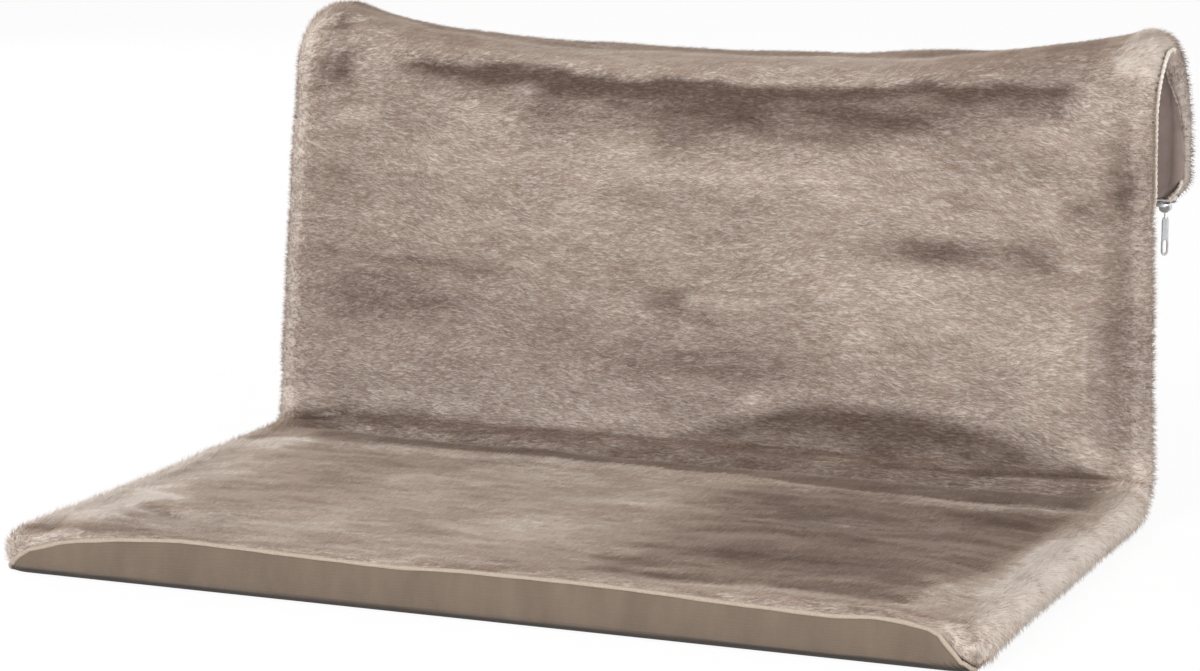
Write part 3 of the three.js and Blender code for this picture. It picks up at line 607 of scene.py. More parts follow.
def cloudy(x, y, cell, seed, layers=3):
    """Layers of noise, finer and weaker, about a middle of 0."""
    total, weight = 0.0, 0.0
    for i in range(layers):
        total += (value_noise(x, y, cell / 2**i, seed + i) - 0.5) / 2**i
        weight += 1 / 2**i
    return total / weight


def line_profile(across, along, points, above, below):
    """1 on a line across the pattern, fading over one width above it, another below it, and at its ends."""
    off = along / mm - line_at(across, points)
    side = np.where(off > 0, off / above, off / below)
    ends = past(across, points[0][0] * mm, 0.02) * before(across, points[-1][0] * mm, 0.02)
    return np.exp(-(side**2)) * ends


def stroke(across, along, start, end, width):
    """1 along a short line in any direction, fading to its sides and ends."""
    x, s = across / mm - start[0], along / mm - start[1]
    run, climb = end[0] - start[0], end[1] - start[1]
    t = np.clip((x * run + s * climb) / (run**2 + climb**2), 0, 1)
    far = np.hypot(x - t * run, s - t * climb)
    return np.exp(-((far / width) ** 2)) * smooth(t / 0.25) * smooth((1 - t) / 0.25)


# Lines of places across and along the pattern: the ridge before the crease, the crease's upper edge on the
# back, the shade under the top roll, and how far out the seat's dark stroke reaches
ridge = [(-215, 200), (-100, 198), (-50, 200), (0, 201), (50, 199), (100, 194), (150, 188), (180, 186),
         (200, 195), (222, 208)]
crease_top = [(-220, 281), (-150, 283), (-50, 281), (0, 287), (50, 298), (100, 301), (150, 297), (180, 288),
              (205, 278), (220, 270)]
under_roll = [(-175, 452), (-100, 449), (-50, 445.5), (0, 444), (60, 444.5), (100, 447), (150, 451),
              (200, 447)]
stroked_border = [(0, 192), (40, 198), (70, 205), (110, 209), (140, 212), (190, 214)]

# Folds in millimetres: start and end on the pattern, half width, and height above or depth below the cloth
fold_strokes = [
    ((-214, 56), (-150, 30), 4.5, -2.0), ((-214, 80), (-172, 55), 5.0, 1.6),
    ((-196, 12.5), (-162, 19.5), 3.6, -1.8), ((-202, -6), (-212, 20), 3.5, -1.4),
    ((170, 6), (215, 62), 5.0, 1.6), ((175, 0), (222, 45), 4.0, -1.2),
    ((120, 262), (226, 271), 2.6, -2.2), ((150, 250), (226, 255), 3.0, -1.4),
    ((160, 300), (205, 276), 6.0, 2.2), ((-226, 262), (-185, 272), 3.0, -2.6),
    ((-220, 464), (-196, 476), 3.0, -3.4), ((-212, 440), (-190, 432), 4.0, 1.4),
    ((196, 300), (198, 345), 3.0, -0.8), ((150, 425), (205, 441), 6.0, 1.4),
]


# The loose cloth between the tubes settles into folds by itself. A cloth simulation of one open layer gives
# their heights: it hangs from its side seams, its two ends and the crease, and is cut a little longer than
# its way.
cloth_spare = (0.024, 0.010)  # how much longer it is cut, along and across
cloth_columns, cloth_rows, cloth_frames = 73, 101, 24
cloth_slack, slack_edge = 0.005, 0.02  # how far it starts from its way, and from where on
seam_hold, crease_hold, loose_hold = 0.003, 0.004, 0.02
fold_limit = 0.0024
cloth_settings = {
    "quality": 6, "mass": 0.05, "air_damping": 2, "tension_stiffness": 20, "compression_stiffness": 20,
    "shear_stiffness": 10, "bending_stiffness": 3, "vertex_group_mass": "held", "pin_stiffness": 1,
}


def cut_length(start, axis, spare):
    """Where the rows of the cut cloth lie, one after another."""
    steps = np.linalg.norm(np.diff(start, axis=axis), axis=-1).mean(axis=1 - axis) * (1 + spare)
    return np.concatenate([[0], np.cumsum(steps)])


def settled_cloth():
    columns, rows = np.linspace(-half_width, half_width, cloth_columns), np.linspace(0, rear_bar, cloth_rows)
    a, s = np.meshgrid(columns, rows)
    start = plush_at(a, s, ground_radius, folded=False)
    outwards = unit(np.cross(np.gradient(start, axis=1), np.gradient(start, axis=0)))
    from_edge = np.minimum(half_width - np.abs(a), np.minimum(s, rear_bar - s))
    slack = cloth_slack * cloudy(a * 0.5, s, 0.030, 91, 2) * np.minimum(from_edge / slack_edge, 1)
    at = np.arange(a.size).reshape(a.shape)
    faces = quads(at[:-1, :-1], at[:-1, 1:], at[1:, 1:], at[1:, :-1])
    loose = new_object("loose_cloth", mesh_of("loose_cloth", start + outwards * slack[..., None], faces))
    loose.shape_key_add(name="hung")
    cut = loose.shape_key_add(name="cut")
    u, v = np.meshgrid(cut_length(start, 1, cloth_spare[1]), cut_length(start, 0, cloth_spare[0]))
    cut.data.foreach_set("co", np.stack([u, v, np.zeros_like(u)], axis=-1).ravel())
    cut.value = 0.0
    held = loose.vertex_groups.new(name="held")
    fast = (from_edge < seam_hold) | (np.abs(s - bend_middle) < crease_hold)
    for i, weight in enumerate(np.where(fast, 1.0, loose_hold).ravel().tolist()):
        held.add([i], weight, "REPLACE")
    cloth = loose.modifiers.new("cloth", "CLOTH")
    for name, value in cloth_settings.items():
        setattr(cloth.settings, name, value)
    cloth.settings.rest_shape_key = cut
    cloth.settings.effector_weights.gravity = 0
    cloth.point_cache.frame_start, cloth.point_cache.frame_end = 1, cloth_frames
    for moment in range(1, cloth_frames + 1):
        scene.frame_set(moment)
    hung = loose.evaluated_get(bpy.context.evaluated_depsgraph_get()).data
    points = np.empty(start.size)
    hung.vertices.foreach_get("co", points)
    stood = ((points.reshape(start.shape) - start) * outwards).sum(axis=-1)
    scene.frame_set(1)
    bpy.data.objects.remove(loose)
    return np.clip(stood, -fold_limit, fold_limit)


def finer(heights, times):
    """The same heights on a finer grid, smoothed."""
    for direction in range(2):
        last = len(heights) - 1
        at = np.linspace(0, last, last * times + 1)
        heights = np.stack([np.interp(at, np.arange(last + 1), line) for line in heights.T], axis=-1)
        for i in range(3 * times):
            padded = np.pad(heights, ((1, 1), (0, 0)), mode="edge")
            heights = (padded[:-2] + 2 * padded[1:-1] + padded[2:]) / 4
        heights = heights.T
    return heights


def settled(across, along):
    last_row, last_column = cloth_folds.shape[0] - 1, cloth_folds.shape[1] - 1
    x = np.clip((across + half_width) / (2 * half_width), 0, 1) * last_column
    y = np.clip(along / rear_bar, 0, 1) * last_row
    i, j = np.minimum(x.astype(int), last_column - 1), np.minimum(y.astype(int), last_row - 1)
    x, y = x - i, y - j
    low = cloth_folds[j, i] * (1 - x) + cloth_folds[j, i + 1] * x
    high = cloth_folds[j + 1, i] * (1 - x) + cloth_folds[j + 1, i + 1] * x
    return low * (1 - y) + high * y


def fold_height(across, along):
    total = 0.0014 * line_profile(across, along, ridge, 4, 7)
    total -= 0.0012 * line_profile(across, along - 0.009, ridge, 9, 4)
    total -= 0.0020 * line_profile(across, along + 0.003, under_roll, 5, 12)
    for start, end, width, high in fold_strokes:
        total += high * mm * stroke(across, along, start, end, width)
    total += 0.0014 * cloudy(across, along, 0.055, 11) + 0.0010 * cloudy(across * 0.6, along, 0.014, 23)
    return total + settled(across, along)


def plush_at(across, along, radius, folded=True):
    radius = radius + (fold_height(across, along) if folded else 0.0)

    def turn(share):
        return share * (seam_at(across, along) - seam_half)

    return rolled(across, along, turn, lambda angle: radius, lift(across, np.maximum(along, 0)))


cloth_folds = finer(settled_cloth(), 4)


def lit_patches(across, along, patches):
    total = 0.0
    for x, s, wide, high, percent in patches:
        far = ((across / mm - x) / wide) ** 2 + ((along / mm - s) / high) ** 2
        total += percent / 100 * np.exp(-(far**1.5))
    return total


# Brushed patches in millimetres: middle on the pattern, half sizes across and along, and hundredths of the
# tones up or down
back_patches = [
    (-200, 447, 11, 12, -20), (-165, 333, 40, 13, -18), (-207, 468, 10, 7, -20),
    (-113, 444, 18, 6, -14), (15, 302, 36, 18, -11), (-165, 426, 50, 18, -6), (80, 426, 40, 12, -7),
    (-215, 450, 10, 14, -12), (-192, 440, 5, 16, -10), (-150, 353, 50, 4, -12), (-8, 338, 13, 8, -20),
    (118, 373, 32, 8, -24), (168, 375, 12, 10, -14), (214, 405, 7, 9, -20), (136, 400, 12, 5, -10),
    (190, 396, 12, 5, -12), (0, 315, 80, 15, -8), (-125, 424, 30, 12, 3), (0, 405, 150, 14, 6),
    (30, 297, 12, 4, 18), (178, 325, 22, 30, 6), (178, 392, 10, 18, 8), (-195, 437, 12, 4, 14),
    (-190, 425, 8, 6, 12), (180, 428, 20, 8, 12), (100, 345, 40, 14, 6), (-200, 395, 18, 30, -8),
    (-70, 368, 40, 12, 4), (215, 350, 10, 30, -6), (0, 470, 150, 12, 8), (-190, 300, 30, 12, 5),
]
seat_patches = [
    (-138, 115, 32, 50, -12), (-145, 160, 28, 10, -8), (-50, 45, 30, 12, -12), (-85, 15, 20, 9, -12),
    (70, 12, 30, 6, -20), (-175, 22, 6, 9, -16), (110, 57, 30, 10, -10), (75, 165, 22, 12, -8),
    (185, 163, 16, 7, -12), (28, 134, 22, 4, 18), (-10, 85, 35, 20, 7), (-98, 50, 14, 20, 10),
    (55, 55, 12, 13, 12), (84, 26, 14, 4, 12), (-190, 60, 20, 8, 14), (-60, 170, 20, 12, 6),
    (120, 130, 30, 6, 6), (-190, 180, 12, 8, 12), (-130, 172, 75, 24, -13), (-205, 2, 40, 18, -24),
    (20, 44, 45, 13, -12), (0, 15, 80, 10, -7), (-190, 18, 50, 12, 6), (-216, -3, 22, 11, -14),
    (-140, 40, 30, 20, 7),
]

# Short lines: start and end on the pattern, half width, and hundredths of the tones up or down. They are
# painted shade in the hollows and painted highlight on the ridges of the folds at the front's left corner and
# at the back's upper left one, and painted shade in the dark lines where the crease runs out at the right.
painted_fold_shading = [
    ((-199, 56), (-152, 30.5), 3.6, -34), ((-215, 52), (-196, 55.5), 4.0, -24),
    ((-193, 12.8), (-164, 19.2), 3.2, -36), ((-203, -6), (-212, 18), 3.2, -30),
    ((-208, 79), (-174, 57), 5.0, 14), ((-201.5, 456), (-192.5, 429), 3.0, -10),
    ((-212, 475), (-202, 461), 3.0, -22), ((216, 269.5), (234.5, 265.5), 1.8, -40),
    ((185, 274.5), (216, 276.5), 2.2, -25),
]


def nap_and_painted_light(across, along):
    """The pile's tone: from 0 where it stands and looks dark, to 1 where it lies and looks pale, with painted
    shade and painted light in it as well.
    """
    x = across + 0.030 * cloudy(across * 0.5, along, 0.012, 51)
    s = along + 0.010 * cloudy(across * 0.5, along, 0.016, 61)
    on_back = past(along, 0.27, 0.02)
    total = 0.67 - 0.175 * on_back + (0.40 - 0.20 * on_back) * cloudy(across * 0.22, along, 0.0026, 41)
    total += (0.24 - 0.12 * on_back) * cloudy(across * 0.35, along, 0.010, 45, 2)
    total += 0.24 * cloudy(across * 0.7, along, 0.045, 43)
    # the back is darker low down, and most so at its left
    total -= 0.07 * on_back * before(s, 0.380, 0.05) * before(x, 0.03, 0.06)
    total -= 0.06 * on_back * before(s, 0.350, 0.04) * past(x, 0.02, 0.06)
    patches = lit_patches(x, s, back_patches + seat_patches)
    total += 1.4 * patches * (1 + 1.2 * cloudy(across * 0.25, along, 0.006, 47, 2))
    # shade under the top roll: a sharper upper edge, and a broad soft lower one
    uneven = 1 + 1.2 * cloudy(across * 0.2, along, 0.006, 55, 2)
    total -= 0.24 * line_profile(across, s, under_roll, 3, 6)
    total -= 0.34 * line_profile(x, s, under_roll[1:], 4, 26) * uneven
    total -= 0.14 * line_profile(x, s, under_roll[:3], 3, 10)
    total -= 0.12 * line_profile(x, s + 0.014, under_roll[2:7], 8, 10)
    total -= 0.25 * stroke(x, s, (-155, 449.5), (-90, 446), 4)
    total -= 0.12 * past(x, 0.09, 0.03) * before(across, 0.20, 0.004) * past(s, 0.448, 0.008)
    # painted highlight: a pale line along the top roll, just above its shade
    total += 0.12 * line_profile(across, along - 0.007, under_roll[1:6], 6, 3)
    # painted highlight along the ridge before the crease, stronger to the right, and on the fold at the
    # seat's right front
    lit = 0.05 + 0.20 * past(across, 0.11, 0.04)
    total += lit * line_profile(across, along + 0.002, ridge, 2, 6)
    total += 0.26 * stroke(x, along, (168, 12), (210, 64), 5)
    # the crease, dark from the ridge to the foot of the back: painted shade, and pile that stands there
    past_ridge = along - line_at(across, ridge) * mm
    sunk = 0.42 + 0.06 * past(x, -0.03, 0.06) + 0.10 * np.exp(-(((x + 0.01) / 0.045) ** 2))
    sunk = sunk * past(past_ridge, 0.001, 0.003) * before(across, 0.216, 0.014)
    total -= sunk * before(s, line_at(across, crease_top) * mm, 0.012)
    # the seat's right half, stroked dark up to a pale border
    stroked = past(x, 0.022, 0.05) * past(s, 0.007, 0.010) * before(past_ridge, 0.0, 0.004)
    stroked = stroked * before(across, line_at(along, stroked_border) * mm, 0.010)
    total -= 0.39 * stroked * (1 + 0.5 * cloudy(across * 0.15, along, 0.010, 49, 2))
    # the rolled edges paler: painted light, where light grazes them and the white sweep lights them from
    # behind
    far = past(along, 0.135, 0.03)
    pale = 0.20 - 0.12 * far + 0.20 * past(along, 0.030, 0.03) * (1 - far)
    pale = pale * (1 + 2.2 * cloudy(across * 0.5, along, 0.007, 63, 2))
    total += pale * past(across, 0.203, 0.012) * before(along, 0.250, 0.03)
    total += 0.24 * far * past(across, 0.218, 0.006) * before(along, 0.255, 0.02)
    total -= 0.12 * past(across, 0.200, 0.010) * on_back * before(along, hook_front, 0.02)
    total += 0.26 * past(across, 0.223, 0.006) * on_back
    total += 0.25 * past(-x, 0.165, 0.035) * before(along, 0.24, 0.02)
    total += 0.07 * past(-x, 0.130, 0.05) * before(along, 0.075, 0.04)
    paler_left = 0.30 - 0.26 * before(along, 0.045, 0.03) - 0.16 * on_back
    total += paler_left * past(-across, 0.210, 0.012)
    # the lip along the front seam, mottled
    total += before(along, 0.006, 0.004) * (0.30 * cloudy(across * 0.4, along, 0.003, 59, 2) - 0.08)
    # the top of the hook is mottled, behind it the pile is darker, and along its right edge painted light
    # makes it paler
    over = past(along, 0.452, 0.006) * before(along, hook_top + 0.02, 0.02)
    total += over * (0.12 + 0.25 * cloudy(across * 0.5, along, 0.004, 57, 2))
    total -= (0.10 + 0.16 * past(across, 0.190, 0.02)) * past(along, hook_top, 0.01)
    total += 0.32 * past(across, 0.206, 0.005) * past(along, 0.452, 0.008) * before(along, 0.520, 0.03)
    for start, end, width, percent in painted_fold_shading:
        total += percent / 100 * stroke(across, along, start, end, width)
    return np.clip(total, 0, 1)


across, along = sleeve_grid(14, 145, 17, 250, 13)
plush = closed_sheet(
    "plush_sleeve",
    plush_at(across, along, ground_radius),
    plush_at(across, along, tube + ease, folded=False),
    (across, along),
)
mark(plush, "nap_and_painted_light", np.tile(nap_and_painted_light(across, along).ravel(), 2))
# Tones of the pile from brushed up to lying down, which also give its painted shade and painted light
pile_tones = [
    (0.135, 0.088, 0.066), (0.205, 0.140, 0.106), (0.290, 0.207, 0.160),
    (0.385, 0.288, 0.228), (0.490, 0.392, 0.324), (0.690, 0.610, 0.545),
]
knit, tree, shader = finish("plush_ground", pile_tones[2], 0.95)
pattern = add(tree, "UVMap", {}, uv_map="cloth_metres")
lain = add(tree, "Mapping", {"Vector": pattern["UV"], "Scale": (0.3, 1.0, 1.0)})
tufts = add(tree, "TexNoise", {"Vector": lain["Vector"], "Scale": 900, "Detail": 6})
# its tones follow the pile's nap, with the painted shade and painted light in it
tone = add(tree, "Attribute", {}, attribute_name="nap_and_painted_light")
varied = add(tree, "Math", {0: tufts["Fac"], 1: 0.5, 2: tone["Fac"]}, operation="MULTIPLY_ADD")
darkest, palest = (tuple(share * v for v in pile_tones[i]) for i, share in ((0, 0.7), (5, 0.85)))
add_tones(tree, shader, varied[0], darkest, palest, 0.2, 1.3)
add_bump(tree, shader, tufts["Fac"], 0.0008)
plush.data.materials.append(knit)

# The pile: short soft hairs knitted into the ground, lying mostly along the width. Where a hand has brushed
# them up they stand and look dark, and where they lie down they look pale; their tones also carry painted
# shade and painted light. Each hair here is a tapered strand.
pile_finishes = []
for i, tone in enumerate(pile_tones):
    hair, tree, shader = finish(f"pile_tone_{i + 1}", tone, 0.9)
    wire(tree, shader, {"Sheen Weight": 0.10 + 0.05 * i, "Sheen Roughness": 0.4})
    wire(tree, shader, {"Sheen Tint": (1.0, 0.9, 0.8, 1), "Specular IOR Level": 0.15})
    pile_finishes.append(hair)

strand_depth = 0.0004  # of the roots, under the ground's face
strand_long, lying_more = 0.0034, 0.0010  # a standing strand, and how much longer one is that lies
strand_thin, strand_thick = 0.00011, 0.00017
standing_tilt, lying_tilt, edge_tilt = 56, 18, -16  # degrees, the last two for what lies and at the edges


def pile(name, low, high, count, seed):
    """Tapered three-sided strands over a strip of the plush, as one piece."""
    draw = np.random.RandomState(seed)
    across = draw.uniform(-half_width - roll, half_width + roll, count)
    along = draw.uniform(low, high, count)
    step = 0.0004
    root_radius = ground_radius - strand_depth
    root = plush_at(across, along, root_radius)
    t_across = plush_at(across + step, along, root_radius) - plush_at(across - step, along, root_radius)
    t_along = plush_at(across, along + step, root_radius) - plush_at(across, along - step, root_radius)
    out = unit(np.cross(t_across, t_along))
    t_across = unit(t_across)
    t_along = np.cross(out, t_across)
    lying_and_painted_light = nap_and_painted_light(across, along)
    # at the rolled edges the hairs stand off more, and on the back they turn in small curls
    edge = past(np.abs(across), 0.206, 0.012)
    far_left = past(-across, 0.212, 0.008)
    far_out = far_left + 0.6 * past(across, 0.219, 0.008)
    curl = past(along, 0.27, 0.02)
    turn = 1.3 * cloudy(across * 0.6, along, 0.040, 71) + draw.normal(0, 0.16 + 0.3 * edge, count)
    turn += (0.5 + 0.2 * curl) * cloudy(across * 0.6, along, 0.0045, 81, 2)
    tilt = np.radians(standing_tilt + lying_tilt * lying_and_painted_light + edge_tilt * edge * (1 - 0.7 * far_left))
    tilt += np.clip(draw.normal(0, 0.10 + 0.10 * edge, count), -0.3, 0.3)
    long = (strand_long + lying_more * lying_and_painted_light) * draw.uniform(0.8, 1.2, count)
    lean = np.cos(turn)[:, None] * t_across + np.sin(turn)[:, None] * t_along
    grow = np.cos(tilt)[:, None] * out + np.sin(tilt)[:, None] * lean
    beside = unit(np.cross(grow, out))
    over = np.cross(beside, grow)
    thick = draw.uniform(strand_thin, strand_thick, count)[:, None]
    around = [math.cos(a) * over + math.sin(a) * beside for a in np.radians([0, 120, 240])]
    points = np.stack([*(root + thick * way for way in around), root + grow * long[:, None]], axis=1)
    faces = 4 * np.arange(count)[:, None, None] + np.array([(0, 1, 3), (1, 2, 3), (2, 0, 3), (2, 1, 0)])
    mesh = mesh_of(name, points, faces.reshape(-1, 3))
    for hair in pile_finishes:
        mesh.materials.append(hair)
    top_tone = len(pile_tones) - 1
    tone = np.rint(lying_and_painted_light * top_tone + draw.normal(0, 1, count) * (0.26 + 0.45 * edge))
    mesh.polygons.foreach_set("material_index", np.repeat(np.clip(tone, 0, top_tone).astype(int), 4))
    own = np.stack([*around, grow], axis=1)
    soft = unit(own * (0.12 + 0.5 * edge + 2.4 * far_out)[:, None, None] + out[:, None, :])
    mesh.normals_split_custom_set_from_vertices(soft.reshape(-1, 3))
    return new_object(name, mesh)


strips = [40, 90, 140, 190, 245, 300, 345, 385, 425, 465]  # where they meet along the pattern
strips = [-roll, *(mm * end for end in strips), hook_front + 0.060, hem]
strip_strands, pile_seed = 50000, 300
piles = []
for i, (low, high) in enumerate(zip(strips, strips[1:])):
    piles.append(pile(f"pile_{i + 1}", low, high, strip_strands, pile_seed + i))

# The welts. Along each side the plush's pale backing is rolled over and overlocked, which gives a scalloped
# edge, and along the top of the front band a thin fold of the lining stands out.
def cord_mesh(name, line, radius, sides, closed=False):
    """A cord along a line of points. radius is one number, or one for each point."""
    ahead = np.gradient(line, axis=0)
    if closed:
        ahead = np.roll(line, -1, axis=0) - np.roll(line, 1, axis=0)
    ahead = unit(ahead)
    across = np.zeros_like(line)
    start = np.array([0.0, 0.0, 1.0]) if abs(ahead[0][2]) < 0.9 else np.array([0.0, 1.0, 0.0])
    side = np.cross(ahead[0], start)
    for i, way in enumerate(ahead):
        side = unit(side - way * side.dot(way))
        across[i] = side
    other = np.cross(ahead, across)
    turn = np.arange(sides)[:, None] / sides * 2 * math.pi
    size = np.broadcast_to(radius, (len(line),))[:, None, None]
    ring = line[:, None, :] + size * (np.cos(turn) * across[:, None, :] + np.sin(turn) * other[:, None, :])
    at = np.arange(len(line) * sides).reshape(-1, sides)
    here, there = (at, np.roll(at, -1, axis=0)) if closed else (at[:-1], at[1:])
    faces = quads(here, np.roll(here, -1, axis=1), np.roll(there, -1, axis=1), there).tolist()
    if not closed:
        faces += [at[0, ::-1].tolist(), at[-1].tolist()]
    mesh = bpy.data.meshes.new(name)
    mesh.from_pydata(ring.reshape(-1, 3).tolist(), [], faces)
    mesh.shade_smooth()
    return new_object(name, mesh)


def seam_point(across, along, ring):
    """The middle of the welt, where the way round the edge meets the seam."""
    return rolled(across, along, lambda share: share * seam_at(across, along), lambda angle: ring,
                  lift(across, np.maximum(along, 0)))


def run_of(line):
    return np.concatenate([[0], np.cumsum(np.linalg.norm(np.diff(line, axis=0), axis=1))])


scallop, welt_sides = 0.0028, 10
welt_start, slider_room = 0.0135, 0.005  # where the side welts start, and how far from the hem they end
welts = []
for side, name in ((-1, "left"), (1, "right")):
    along = np.linspace(welt_start, hem - slider_room, 1900)
    # behind and low on the back, the welt lies deeper in the pile
    hidden = np.maximum(past(along, hook_top + 0.002, 0.008), before(along, 0.405, 0.02))
    hidden = hidden * before(along, rear_bar + 0.002, 0.006)
    outer = np.full(along.shape, side * (half_width + roll))
    line = seam_point(outer, along, roll - 0.0002 - 0.0036 * hidden)
    wave = np.abs(np.sin(math.pi * run_of(line) / scallop + 0.4 * np.sin(run_of(line) * 350)))
    edge = cord_mesh(f"{name}_welt_edge", line, welt * (0.72 + 0.34 * wave), welt_sides)
    welts.append((edge, f"{name}_side_welt", "side"))
down = np.linspace(welt_start - 0.001, -roll, 60)
over = np.linspace(half_width + roll, half_width, 30)[1:]
front = np.linspace(half_width, -half_width, 1100)[1:]
outer = half_width + roll
ways = [(outer, down), (over, -roll), (front, -roll), (-over[::-1], -roll), (-outer, down[::-1])]
line = np.concatenate([seam_point(*np.broadcast_arrays(a, s), roll - 0.0004) for a, s in ways])
steps = np.linalg.norm(np.diff(line, axis=0), axis=1)
line = line[np.concatenate([[True], steps > 0.00008])]
thick = 1.05 * welt * (1 + 0.12 * np.sin(run_of(line) * 210) * np.sin(run_of(line) * 77))
welts.append((cord_mesh("front_welt_fold", line, thick, welt_sides), "front_welt", "front"))
edges = {
    "side": grained("side_welt_cloth", (0.74, 0.68, 0.60), 0.85, 0.0, 900, 4,
                    (0.56, 0.49, 0.41), (0.74, 0.68, 0.60), 0.0002),
    "front": grained("front_welt_cloth", (0.40, 0.33, 0.265), 0.85, 0.0, 1500, 4,
                     (0.32, 0.258, 0.2), (0.40, 0.33, 0.265), 0.0002),
}
for piece, node, cloth in welts:
    piece.data.materials.append(edges[cloth])
    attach(piece, "hammock")
    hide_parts(node)

# The zip in the foot of the flap: two woven tapes sewn inside the hems, each with a row of plastic coil,
# two metal stops, and a nickel-plated slider with a long slotted pull, which hangs at the right end.
foot_y, foot_z, _ = (float(v) for v in side_view(rear_bar))
foot_half = half_width - side_taper
coil_end = foot_half - 0.0007
zip_z = foot_z - 0.0079
coil_turns, coil_middle, coil_reach, coil_rise, coil_wire = 385, 0.00165, 0.00100, 0.00075, 0.00022
tape_half, tape_inner, tape_outer = 0.0003, 0.0031, 0.0056
tape_met = 0.0002  # how near the tapes come past the coils' ends

zip_pieces = []
for side, name in ((1, "outer"), (-1, "inner")):
    turns = np.linspace(0, 1, 3900)
    angle = turns * 2 * math.pi * coil_turns + (math.pi if side > 0 else 0)
    line = np.stack([
        -coil_end + 2 * coil_end * turns,
        foot_y + side * (coil_middle + coil_reach * np.cos(angle)),
        zip_z + coil_rise * np.sin(angle),
    ], axis=-1)
    coil = cord_mesh(f"coil_{name}", line, coil_wire, 5)
    tape_end = coil_end + 0.0036
    x, share = np.meshgrid(np.linspace(-tape_end, tape_end, 220), np.linspace(0.0, 1.0, 9))
    inner = tape_inner - (tape_inner - tape_met) * past(np.abs(x), coil_end + 0.0022, 0.001)
    y = foot_y + side * (inner + (tape_outer - inner) * share)
    z = zip_z + foot_rise(x, hem) * past(share, 0.15, 0.7) + 0.0022 * past(np.abs(x), coil_end, 0.005)
    faces = [np.stack([x, y, z + above], axis=-1) for above in (side * tape_half, -side * tape_half)]
    tape = closed_sheet(f"tape_{name}", *faces, (x, y))
    zip_pieces += [(coil, f"zip_coil_{name}", "zip_plastic"), (tape, f"zip_tape_{name}", "zip_tape")]


def built(name, build):
    """An object from a bmesh."""
    mesh = bpy.data.meshes.new(name)
    build.to_mesh(mesh)
    build.free()
    mesh.shade_smooth()
    return new_object(name, mesh)


def bevelled(name, parts, bevel):
    """Joined plates: each an outline in one plane, given a thickness, with its edges rounded."""
    build = bmesh.new()
    for outline, low, high, place in parts:
        low_ring, high_ring = ([build.verts.new(place(a, b, c)) for a, b in outline] for c in (low, high))
        build.faces.new(low_ring[::-1])
        build.faces.new(high_ring)
        for i in range(len(outline)):
            j = (i + 1) % len(outline)
            build.faces.new((low_ring[i], low_ring[j], high_ring[j], high_ring[i]))
    bmesh.ops.recalc_face_normals(build, faces=build.faces)
    sharp = [edge for edge in build.edges if edge.calc_face_angle(0) > 0.6]
    bmesh.ops.bevel(
        build, geom=sharp, offset=bevel, segments=3, profile=0.6, affect="EDGES", clamp_overlap=True
    )
    return built(name, build)


def flat_at(middle_x):
    return lambda a, b, c: (middle_x + a, foot_y + b, c)


def block(low_x, high_x, half):
    return [(low_x, -half), (high_x, -half), (high_x, half), (low_x, half)]


zip_bevel = 0.00022
stop_half, stop_reach, stop_neck, stop_top, stop_gap = 0.0011, 0.0028, 0.0006, 0.001, 0.0005
for side, name in ((-1, "left"), (1, "right")):
    place = flat_at(side * (coil_end + 0.0015))
    crimp, neck = block(-stop_half, stop_half, stop_reach), block(-stop_half, stop_half, stop_neck)
    parts = [
        (crimp, zip_z - stop_top, zip_z - stop_gap, place),
        (crimp, zip_z + stop_gap, zip_z + stop_top, place),
        (neck, zip_z - 0.0008, zip_z + 0.0008, place),
    ]
    zip_pieces.append((bevelled(f"stop_{name}", parts, zip_bevel), f"zip_stop_{name}", "nickel"))

slider_half, slider_wide, plate_thick, plate_gap, sunk_in = 0.006, 0.0046, 0.0011, 0.0014, 0.0003
rail_room = 0.0008
ear_high, ear_low, pin_half_long, pin_radius = 0.0032, 0.00135, 0.0021, 0.00055
slider_x = coil_end - 0.0063
outer_top, inner_bottom = zip_z - plate_gap, zip_z + plate_gap
pin_z = outer_top - plate_thick - ear_high + ear_low
pin_x = slider_x + 0.0035
turns = np.arange(28) / 28 * 2 * math.pi


def on_pin(a, b, c):
    return (pin_x + a, foot_y + c, pin_z + b)


def slider_edge(shrink):
    """The plate's outline: rounded at the nose, drawn in at the tail."""
    outline = []
    for t in turns:
        a, b = math.cos(t), math.sin(t)
        long = (slider_half - shrink) * math.copysign(abs(a) ** 0.75, a)
        tail = 1 - 0.22 * smooth(-a)
        outline.append((long, (slider_wide - shrink) * math.copysign(abs(b) ** 0.7, b) * tail))
    return outline


on_slider = flat_at(slider_x)
slider_parts = [
    (slider_edge(0.0), outer_top - plate_thick, outer_top, on_slider),
    (slider_edge(0.0011), outer_top - 0.0017, outer_top - 0.0010, on_slider),  # the crown of its outer plate
    (slider_edge(0.0), inner_bottom, inner_bottom + plate_thick, on_slider),
    (block(0.0034, slider_half, 0.0005), outer_top - sunk_in, inner_bottom + sunk_in, on_slider),
]
for side in (-1, 1):
    rail = [(-0.0052, 0.0029), (0.0030, 0.0037), (0.0030, 0.0044), (-0.0052, 0.0036)]
    rail = [(a, side * b) for a, b in rail]
    slider_parts.append((rail, outer_top - sunk_in, zip_z - rail_room, on_slider))
    slider_parts.append((rail, zip_z + rail_room, inner_bottom + sunk_in, on_slider))
    ear_side = [(0.0026, 0.0034), (0.0029, 0.0022), (0.0026, 0.0009), (0.0016, -0.0001)]
    ear = [(-a, b) for a, b in ear_side] + [(0.0, -0.0004)] + ear_side[::-1]
    ear = [(a, b - ear_low + 0.0001) for a, b in ear]
    slider_parts.append((ear, side * 0.0014, side * 0.0024, on_pin))
around = [(pin_radius * math.cos(t), pin_radius * math.sin(t)) for t in turns[::2]]
slider_parts.append((around, -pin_half_long, pin_half_long, on_pin))
slider = bevelled("slider_body", slider_parts, zip_bevel)

